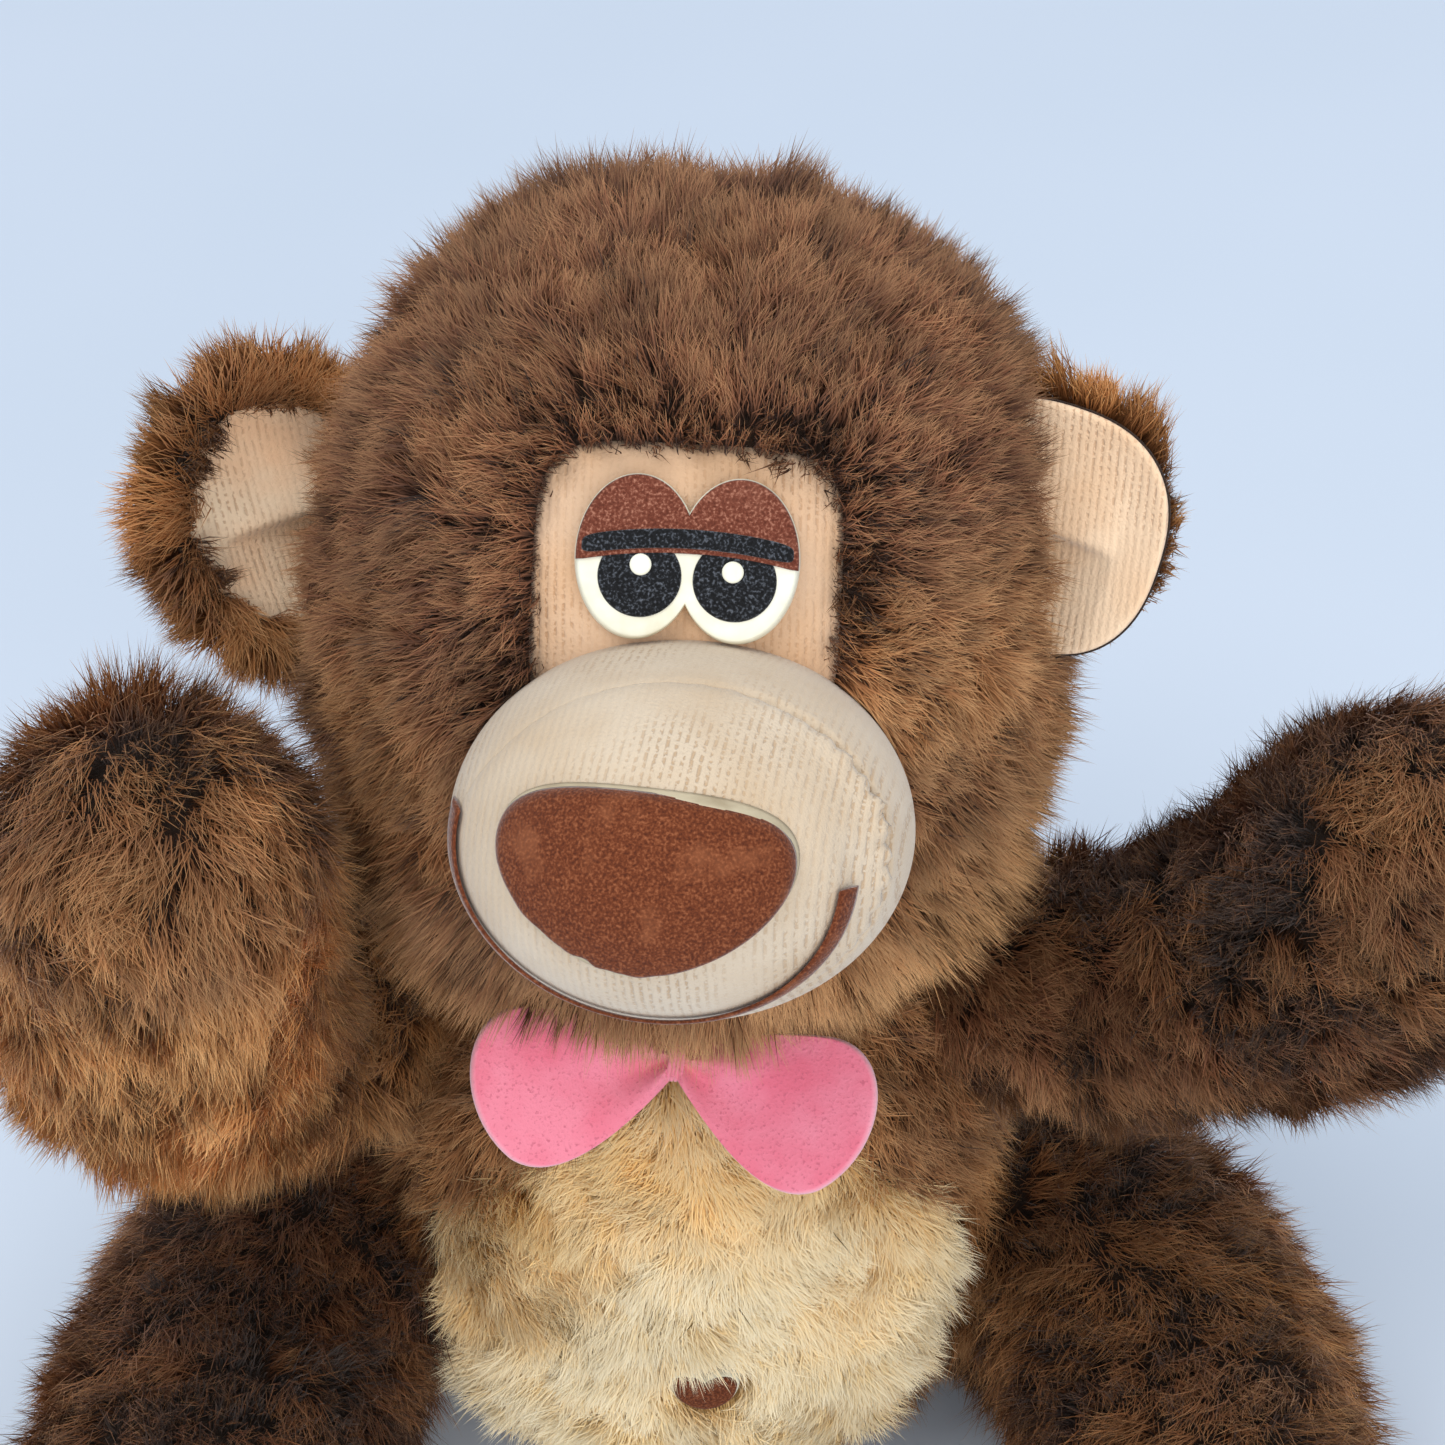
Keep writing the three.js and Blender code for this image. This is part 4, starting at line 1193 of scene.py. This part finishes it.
def nose_outline(shrink):
    """Four curves: a soft point below, full sides, and a flat arc above.

    The shrink draws it in, most at the upper right and, raggedly, at the lower left.
    """
    wide, tall = NOSE_HALF, NOSE_TALL
    curves = [
        [(0, -tall), (wide * 0.45, -tall * 0.95), (wide, -tall * 0.35), (wide, tall * 0.25)],
        [(wide, tall * 0.25), (wide, tall * 0.75), (wide * 0.62, tall), (0, tall)],
        [(0, tall), (-wide * 0.62, tall), (-wide, tall * 0.75), (-wide, tall * 0.25)],
        [(-wide, tall * 0.25), (-wide, -tall * 0.35), (-wide * 0.45, -tall * 0.95), (0, -tall)],
    ]
    rim = np.concatenate([bezier(curve, 60) for curve in curves])
    turn = np.arctan2(rim[:, 1], rim[:, 0])
    upper_right = np.exp(-(((turn - 0.9) / 0.5) ** 2))
    ragged = 1 + 0.5 * np.sin(14 * turn) + 0.3 * np.sin(23 * turn)
    lower_left = np.exp(-(((turn + 2.1) / 0.7) ** 2)) * ragged
    bare = shrink * (0.2 + 0.8 * upper_right + 1.6 * lower_left)
    return NOSE_MIDDLE + rim * (1 - bare)[:, None]


# Its buff finish is painted shade on the cream plate's rim.
piece(
    "nose_plate_moulding",
    placed(plate(nose_outline(0.0), NOSE_MIDDLE, on_muzzle, 2.7, 0.05, under=0.3, rings=16), MUZZLE_PLACE),
    NOSE_ABS_SHADED,
    "head",
    stands_for=["nose_plate"],
)
piece(
    "nose_flocking",
    placed(plate(nose_outline(0.02), NOSE_MIDDLE, on_muzzle, 3.1, 0.06, under=1.6, rings=16), MUZZLE_PLACE),
    NOSE_FLOCK,
    "head",
)

turn = np.linspace(0.95 * math.pi, 1.99 * math.pi, 100)[:, None]
broad = 1.1 + 1.7 * np.abs(np.cos(turn)) ** 2
section = np.linspace(0, 2 * math.pi, 10, endpoint=False)[None, :]
back = broad * (0.5 - 0.5 * np.cos(section))
lift = 0.9 + 0.5 * np.sin(section)
strip_x = (35.5 - 1.5 * np.cos(turn) - back) * np.cos(turn)
strip_z = MUZZLE_CENTRE[2] + 3 + (27.5 - back) * np.sin(turn)
strip = on_muzzle(strip_x, strip_z, lift)
piece(
    "mouth_strip_flocked",
    placed(closed(strip, strip[0].mean(0), strip[-1].mean(0)), MUZZLE_PLACE),
    NOSE_FLOCK,
    "head",
    stands_for=["mouth_strip"],
)

# %% [markdown]
# ## Ears
# Each ear is two layers sewn round the edge and turned: fur behind, knit in front. It is gathered at its
# root, which cups it and leaves a fold that runs out from the head. The left ear leans back and shows its
# fur all round, and the right one is turned forwards, so its lining reaches its edge.

# %% Ear shapes
ROOT_SIDE = {"left": 1, "right": -1}
EAR_THICK = 5.0


def ear_surface(side):
    """A cupped oval: its front dips by 5.5 mm in the middle, and the fold lifts one side of a line."""
    half_x, half_z, _, fold_at, fold = EARS[side][3:]

    def lay(x, z, lift):
        """In the ear's own frame: a positive raise is the front, and none is the back."""
        out = np.clip((x / half_x) ** 2 + (z / half_z) ** 2, 0, 1.2)
        towards_root = np.clip(x * ROOT_SIDE[side] / half_x + 0.6, 0, 1) ** 0.7
        crease = fold * towards_root * np.tanh((z - fold_at) / 1.0) * np.exp(-(((z - fold_at) / 14) ** 2))
        back = EAR_THICK * (1 - out**2)
        y = -4.5 + 5.5 * (1 - out) - crease + np.where(lift > 0, -lift, back)
        return np.stack([x, y, z], -1)

    return lay


for side in EARS:
    turn_by, half_x, half_z, share = EARS[side][2:6]
    place = ear_place(side)
    lay = ear_surface(side)
    power = 2.5 if side == "right" else 2.0

    def in_ear(x, z):
        """An oval, squarer for the right ear: |x|^power + |z|^power under 1."""
        return np.abs(x / half_x) ** power + np.abs(z / half_z) ** power < 1

    rim = outline(in_ear, np.zeros(2), 60, 160)
    cloth = placed(plate(rim, np.zeros(2), lay, 0.6, 0.06, under=0.0, rings=18), place)
    # Painted light: each lining gets its own paler copy of the peach knit, palest on the left, standing for
    # light in its shaded cup.
    pale, shade = ("#ffe8ca", "#ffd5ae") if side == "left" else ("#f6d9b9", "#ecc7a2")
    lining_knit = knit_finish(f"brushed_knit_ear_painted_light_{side}", pale, shade, "#c0936d", turn_by + 6)
    ear_skin = piece(
        f"ear_backing_{side}",
        cloth,
        SHADED_BROWN_BACKING,
        f"ear_{side}",
        stands_for=[f"ear_fur_{side}"],
    )
    lining = plate(rim * share, np.zeros(2), lay, 1.6, 0.06, under=0.3, rings=26)
    piece(
        f"ear_lining_{side}",
        placed(lining, place),
        lining_knit,
        f"ear_{side}",
        stands_for=[f"inner_ear_{side}"],
    )
    to_ear = place.inverted()
    middle_of_ear = np.array(place.translation)
    rim_only = share > 0.95

    def keep(root):
        """Behind the lining, or on the rim, and not inside the head."""
        x, y, z = carried(root, to_ear).T
        out = (x / half_x) ** 2 + (z / half_z) ** 2
        front = lay(x, z, np.full_like(x, 0.3))[:, 1]
        behind = y > front + 1.0
        open_side = out > share**2
        return (behind if rim_only else behind | open_side) & ~in_head(root, 10)

    def ear_length(root):
        """Full over the top, and trimmed short behind an edge where the lining shows."""
        x, _, z = carried(root, to_ear).T
        full = np.clip(z / 8, 0, 1) * np.clip((18 - x) / 8, 0, 1)
        return 4.0 + 8.0 * full if rim_only else np.full(len(root), 10.5)

    def ear_comb(root, normal):
        """Out from the middle of the ear, or up and back towards the head behind a wide lining."""
        if rim_only:
            return 0.35 * unit(root - middle_of_ear) + np.array([-0.9, 0.3, 0.7])
        return unit(root - middle_of_ear) + np.array([0, 0, -0.1])

    coat(
        f"ear_pile_{side}", cloth, 60000, f"ear_{side}", BROWN_FUR, "brown_fur", ear_comb,
        length=ear_length, lean=0.65, seed=31 if side == "left" else 37, keep=keep, lock=8, tuft=3.0,
        fade_and_painted_light=lambda root: 0.35 + 0.3 * wander(root, 30, 9),
    )

# %% [markdown]
# ## The body
# The body is a barrel of brown fur with a cream panel let into its front. The two are sewn edge to edge,
# and the pile hides the seam. Only what shows or may show is grown: no strand starts inside the head, a
# limb or the other panel, with a margin for the limbs' movement.


# %% Body skin and belly panel
def belly_outline(room):
    """A rounded point under the chin that opens to full hips and closes above the seat."""
    top, wide_at, half, low = 133 + room, 78, 49.5 + room, 14 - room
    curves = [
        [(0, top), (9, top - 5), (0.65 * half, wide_at + 24), (half, wide_at)],
        [(half, wide_at), (half, wide_at - 34), (44 + room, low), (0, low)],
        [(0, low), (-44 - room, low), (-half, wide_at - 34), (-half, wide_at)],
        [(-half, wide_at), (-0.65 * half, wide_at + 24), (-9, top - 5), (0, top)],
    ]
    return np.concatenate([bezier(curve) for curve in curves])


BELLY_MIDDLE = np.array([0.0, 74.0])
BELLY_RIM = belly_outline(0.0)
BELLY_TURNS = np.arctan2(*(BELLY_RIM - BELLY_MIDDLE).T[::-1])
BELLY_ORDER = np.argsort(BELLY_TURNS)
BELLY_REACH = np.linalg.norm(BELLY_RIM - BELLY_MIDDLE, axis=1)[BELLY_ORDER]
BELLY_TURNS = BELLY_TURNS[BELLY_ORDER]


def in_belly(points, room=0.0):
    """True in front of the belly's outline: nearer its middle than the outline is in that direction."""
    x, y, z = points.T
    turn = np.arctan2(z - BELLY_MIDDLE[1], x - BELLY_MIDDLE[0])
    reach = np.interp(turn, BELLY_TURNS, BELLY_REACH, period=2 * math.pi)
    return (np.hypot(x, z - BELLY_MIDDLE[1]) < reach + room) & (y < 0)


def on_belly(x, z, lift):
    """Raised from 8.5 mm inside the barrel's front."""
    return np.stack([x, body_front(x, z, 8.5 - lift), z], -1)


body_shape = ball(lambda d: body_form(d, 8.8))
body_skin = piece(
    "body_backing", body_shape, SHADED_BROWN_BACKING, "body", stands_for=["body_fur", "body_stuffing"]
)
belly_shape = plate(BELLY_RIM, BELLY_MIDDLE, on_belly, 1.0, 0.03, under=-0.5, rings=24)
belly_skin = piece("belly_backing", belly_shape, CREAM_BACKING, "body", stands_for=["belly_fur"])


# %% Body coat and belly coat
BUTTON_AT = np.array([2.5, 50.0])


def hang(root, normal):
    """Straight down, and a little outwards from the middle."""
    return np.array([0, 0, -1.0]) + 0.35 * root * np.array([0.01, 0, 0]) + 0.5 * normal


def keep_brown(root):
    """Clear of the belly panel, the head and the limbs."""
    covered = in_belly(root, 2.5) | in_head(root, 12)
    for name in LIMBS:
        covered |= near_limb(root, name, 14)
    return ~covered


def keep_cream(root):
    """On the front of the panel, clear of the button and of the head."""
    behind = root[:, 1] > body_front(root[:, 0], root[:, 2], 8.5) + 0.2
    under_button = np.hypot(*((root[:, [0, 2]] - BUTTON_AT - [0, 3.5]) / [9.5, 10.0]).T) < 1
    return ~(behind | under_button | in_head(root, 12))


def swirl(root, normal):
    """Down, turned this way and that, mostly by under 60 degrees, where the pile was pressed and brushed."""
    turn = 1.4 * wander(root, 55, 3) + 0.5 * wander(root, 22, 8)
    down = flat_on(np.broadcast_to(np.array([0, 0, -1.0]), root.shape), normal)
    return down * np.cos(turn)[:, None] + np.cross(normal, down) * np.sin(turn)[:, None]


coat(
    "body_pile", body_shape, 130000, "body", BROWN_FUR, "brown_fur", hang, seed=41,
    keep=keep_brown, fade_and_painted_light=lambda root: 0.42 + 0.25 * wander(root, 50, 12),
)
# The cream pile turns darker and more golden towards the top, and wanders at random.
coat(
    "belly_pile", belly_shape, 170000, "body", CREAM_FUR, "cream_fur", swirl, length=11.5, lean=0.85, seed=43,
    keep=keep_cream, lock=15, tuft=4.2, gather=0.5,
    fade_and_painted_light=lambda root: 0.55 * np.clip((root[:, 2] - 70) / 45, 0, 1) + 0.4 * wander(root, 40, 21),
)

# %% [markdown]
# The belly button is a small moulded plate in the shape of a rounded heart, flocked like the nose, and set
# a few millimetres below the tips of the cream pile.


# %% Belly button
def button_outline(shrink):
    """Two lobes above and one arc below, from four curves."""
    half = 7.5
    curves = [
        [(0, 2.4), (1.6, 5.4), (half, 5.6), (half, 2)],
        [(half, 2), (half, -3), (3.4, -6), (0, -6)],
        [(0, -6), (-3.4, -6), (-half, -3), (-half, 2)],
        [(-half, 2), (-half, 5.6), (-1.6, 5.4), (0, 2.4)],
    ]
    return BUTTON_AT + np.concatenate([bezier(curve, 24) for curve in curves]) * (1 - shrink)


BUTTON_FRONT = -49.5
BUTTON_HEIGHT = 1.8


def on_button(x, z, lift):
    """On a plate that stands upright, crowned by 0.6 mm."""
    from_middle = np.hypot(x - BUTTON_AT[0], z - BUTTON_AT[1]) / 8
    return np.stack([x, BUTTON_FRONT + BUTTON_HEIGHT - lift - 0.6 * (1 - from_middle**2), z], -1)


button_middle = BUTTON_AT - [0, 1]
piece(
    "belly_button_moulding",
    plate(button_outline(0), button_middle, on_button, BUTTON_HEIGHT, 0.12, rings=8),
    CREAM_ABS,
    "body",
    stands_for=["belly_button"],
)
piece(
    "belly_button_flocking",
    plate(button_outline(0.09), button_middle, on_button, 2.4, 0.1, under=1.5, rings=8),
    NOSE_FLOCK,
    "body",
)

# %% [markdown]
# ## The bow
# The bow is one butterfly of wool felt 2 mm thick, drawn together at the waist by a few turns of thread.
# The gather puts short folds into both lobes, and the lobes curl forwards a little. Felt has no weave: its
# fibres are matted, so it gets soft noise, fine specks, and a pale fuzzy edge where the cut shows.


# %% Felt
def felt_finish(name, light, deep, speck, edge):
    """Two tones in areas of 13 mm, flecks where 0.7 mm fibres cross, and a pale colour at the cut edge."""
    made, tree, surface = finish_of(
        name, Roughness=0.92, Specular_IOR_Level=0.15, Sheen_Weight=0.6, Sheen_Roughness=0.45
    )
    at = node(tree, "TexCoord", take="Object")
    fibres = node(tree, "TexNoise", {"Vector": at, "Scale": 1 / (0.7 * MM), "Detail": 5.0})
    areas = node(tree, "TexNoise", {"Vector": at, "Scale": 1 / (13 * MM), "Detail": 3.0})
    soft = node(tree, "ValToRGB", {"Fac": areas}, stops=[(0.35, deep), (0.62, light)])
    fleck = node(tree, "MapRange", {"Value": fibres, "From Min": 0.56, "From Max": 0.7, "To Max": 0.6})
    flecked = node(tree, "Mix", {0: fleck, 6: soft, 7: linear(speck)}, take=2, data_type="RGBA")
    rim = node(tree, "Attribute", take="Fac", attribute_name="cut_edge")
    colour = node(tree, "Mix", {0: rim, 6: flecked, 7: linear(edge)}, take=2, data_type="RGBA")
    relief = node(tree, "Bump", {"Height": fibres, "Distance": 0.35 * MM, "Strength": 0.7})
    tree.links.new(colour, surface.inputs["Base Color"])
    tree.links.new(relief, surface.inputs["Normal"])
    return made


PINK_FELT = felt_finish("pink_wool_felt", "#ef8ba0", "#e8748b", "#bf5c72", "#fbc6d2")

# %% Bow
BOW_PLACE = (
    Matrix.Translation((-3, -62, 151))
    @ Matrix.Rotation(math.radians(-38), 4, "X")
    @ Matrix.Rotation(math.radians(6), 4, "Y")
)
BOW_HALF, BOW_LOBE, BOW_WAIST, BOW_WAIST_AT = 39.5, 28.0, 7.0, 5.0
BOW_RINGS = 34
FELT_THICK = 2.0


def bow_outline():
    """Half of the butterfly from waist to waist, and its mirror image."""
    half, lobe = BOW_HALF, BOW_LOBE
    upper, lower = BOW_WAIST_AT + BOW_WAIST / 2, BOW_WAIST_AT - BOW_WAIST / 2
    curves = [
        [(0, upper), (half * 0.25, upper + 1), (half * 0.4, lobe * 0.44), (half * 0.72, lobe * 0.44)],
        [(half * 0.72, lobe * 0.44), (half * 1.06, lobe * 0.42), (half * 1.05, -lobe * 0.3),
         (half * 0.74, -lobe * 0.6)],
        [(half * 0.74, -lobe * 0.6), (half * 0.48, -lobe * 0.8), (half * 0.2, -lobe * 0.3), (0, lower)],
    ]
    right = np.concatenate([bezier(curve, 40) for curve in curves] + [[[0.0, lower]]])
    left = right[::-1][1:-1] * [-1, 1]
    return np.concatenate([right, left])


def on_bow(x, z, lift):
    """The waist lies 4 mm back, the lobes curl forwards, and folds fan out of the waist and die away."""
    far = np.hypot(x, z - BOW_WAIST_AT)
    turn = np.arctan2(z - BOW_WAIST_AT, np.abs(x))
    curl = 2.6 * np.clip((np.abs(x) - 6) / 34, 0, 1) ** 1.5 - 1.2 * np.exp(-(((np.abs(x) - 17) / 9) ** 2))
    folds = 1.7 * np.sin(5.2 * turn + np.where(x < 0, 0.4, 1.6)) * np.exp(-((far - 8) ** 2) / 130)
    wave = 0.5 * np.sin(x / 6.5 + 1) * np.clip(far / 40, 0, 1)
    dip = 4.0 * np.exp(-((x / 13) ** 2))
    return np.stack([x, dip - lift - curl - folds - wave, z], -1)


bow_rim = bow_outline()
bow_shape = plate(bow_rim, np.array([0, BOW_WAIST_AT]), on_bow, FELT_THICK, 0.035, rings=BOW_RINGS)
bow = piece(
    "felt_bow_sheet",
    placed(bow_shape, BOW_PLACE),
    PINK_FELT,
    "body",
    stands_for=["felt_bow"],
)
ring_of = np.arange(len(bow.data.vertices)) // len(bow_rim)
last_round = BOW_RINGS + ROUND_RINGS
near_edge = np.clip((np.minimum(ring_of, last_round) - (BOW_RINGS - 1)) / 4, 0, 1)
edge = 0.8 * near_edge * (ring_of < last_round + 2)
edge[-2:] = 0
bow.data.attributes.new("cut_edge", "FLOAT", "POINT").data.foreach_set("value", edge.astype(np.float32))

# %% Thread at the waist
THREAD_RADIUS = 0.42
turn = np.linspace(0, 2 * math.pi, 48, endpoint=False)[:, None]
section = np.linspace(0, 2 * math.pi, 8, endpoint=False)[None, :]
turns_of_thread = []
for shift in (-1.1, -0.35, 0.4, 1.15):
    radius = 1 + THREAD_RADIUS * np.cos(section) / 4.5
    loop_z = (BOW_WAIST / 2 + 0.8) * np.sign(np.sin(turn)) * np.abs(np.sin(turn)) ** 0.8 * radius
    thick = 1 + THREAD_RADIUS * np.cos(section) / 2.6
    loop_y = 4.0 - FELT_THICK / 2 + (FELT_THICK / 2 + 1.6) * np.cos(turn) * thick
    loop_x = shift + THREAD_RADIUS * np.sin(section) + 0.2 * np.sin(turn)
    turns_of_thread.append(closed(np.stack(np.broadcast_arrays(loop_x, loop_y, BOW_WAIST_AT + loop_z), -1)))
offsets = np.cumsum([0] + [len(points) for points, _ in turns_of_thread[:-1]])
thread_points = np.concatenate([points for points, _ in turns_of_thread])
thread_quads = np.concatenate([faces[0] + offset for (_, faces), offset in zip(turns_of_thread, offsets)])
thread_shape = (thread_points, [thread_quads, np.zeros((0, 3), int)])
THREAD = felt_finish("pink_spun_thread", "#f08aa0", "#d9657e", "#b9516a", "#f08aa0")
piece("bow_waist_thread", placed(thread_shape, BOW_PLACE), THREAD, "body", stands_for=["bow_stitch"])

# %% [markdown]
# ## Arms and legs
# Each limb is a fur tube, stuffed firmly towards its end, sewn to the body at its root. The pile was laid
# from the root towards the paw, and gravity pulls it over, so the comb follows the limb's middle line with
# a droop. The undersides and the outer ends are paler, as painted light, and the folds by the body stay
# darker, as painted shade.


# %% Limb coats
def limb_comb(name, droop):
    """Along the limb, plus a droop down and forwards that takes over where the cloth faces along it."""
    line = middle_line(LIMBS[name][0], 40)
    heading = unit(np.gradient(line, axis=0))

    def comb(root, normal):
        """The heading at the nearest point of the middle line, and the droop."""
        along = heading[((root[:, None] - line[None]) ** 2).sum(2).argmin(1)]
        facing = np.abs((along * normal).sum(1, keepdims=True))
        return along * 0.8 * (1 - facing) + np.array([0.1, -0.75, -0.75]) * (droop + 0.8 * facing**2)

    return comb


def keep_limb(root):
    """Clear of the body and the head."""
    return ~(in_body(root, 10) | in_head(root, 10))


PAW_HEIGHT = np.array(LIMBS["arm_left"][0])[-1, 2]
print("raised paw at mm:", PAW_HEIGHT)


def raised_paw_painted_light(root):
    """Painted light: paler over the 14 mm below the paw's height, where it hangs in shade, and more in front
    than behind.
    """
    below = np.clip((PAW_HEIGHT + 2 - root[:, 2]) / 14, 0, 1)
    ahead = np.clip((-root[:, 1] - 20) / 25, 0.25, 0.9)
    return 0.22 + below * ahead


LIMB_LOOKS = {
    # strands, droop, seed, how far the fur is paled at a place in mm, by fading and by painted light
    "arm_left": (94000, 1.6, 51, raised_paw_painted_light),
    "arm_right": (92000, 0.5, 53, lambda root: 0.1 + 0.1 * np.clip((root[:, 0] - 110) / 50, 0, 1)),
    "leg_left": (98000, 0.4, 57, lambda root: 0.45 * np.clip((-root[:, 0] - 105) / 30, 0, 1)),
    "leg_right": (98000, 0.4, 59, lambda root: 0.22 + 0.5 * np.clip((root[:, 0] - 105) / 30, 0, 1)),
}
for name, (strands, droop, seed, fade_and_painted_light) in LIMB_LOOKS.items():
    kind, side = name.split("_")
    skin_shape = limb(name, 8.5)
    skin = piece(
        f"{kind}_backing_{side}",
        skin_shape,
        SHADED_BROWN_BACKING,
        name,
        stands_for=[f"{kind}_fur_{side}", f"{kind}_stuffing_{side}"],
    )
    coat(
        f"{kind}_pile_{side}", skin_shape, strands, name, BROWN_FUR, "brown_fur", limb_comb(name, droop),
        seed=seed, keep=keep_limb,
        fade_and_painted_light=lambda root, fade_and_painted_light=fade_and_painted_light: fade_and_painted_light(root) + 0.12 * wander(root, 35, 6),
    )

# %% [markdown]
# ## Fixings
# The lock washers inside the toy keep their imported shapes. They are nylon, a little duller than the plates.

# %% Washers
for name in ("eye_washer_left", "eye_washer_right", "nose_washer", "belly_button_washer"):
    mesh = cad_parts[name].data
    mesh.materials.clear()
    mesh.materials.append(NYLON)
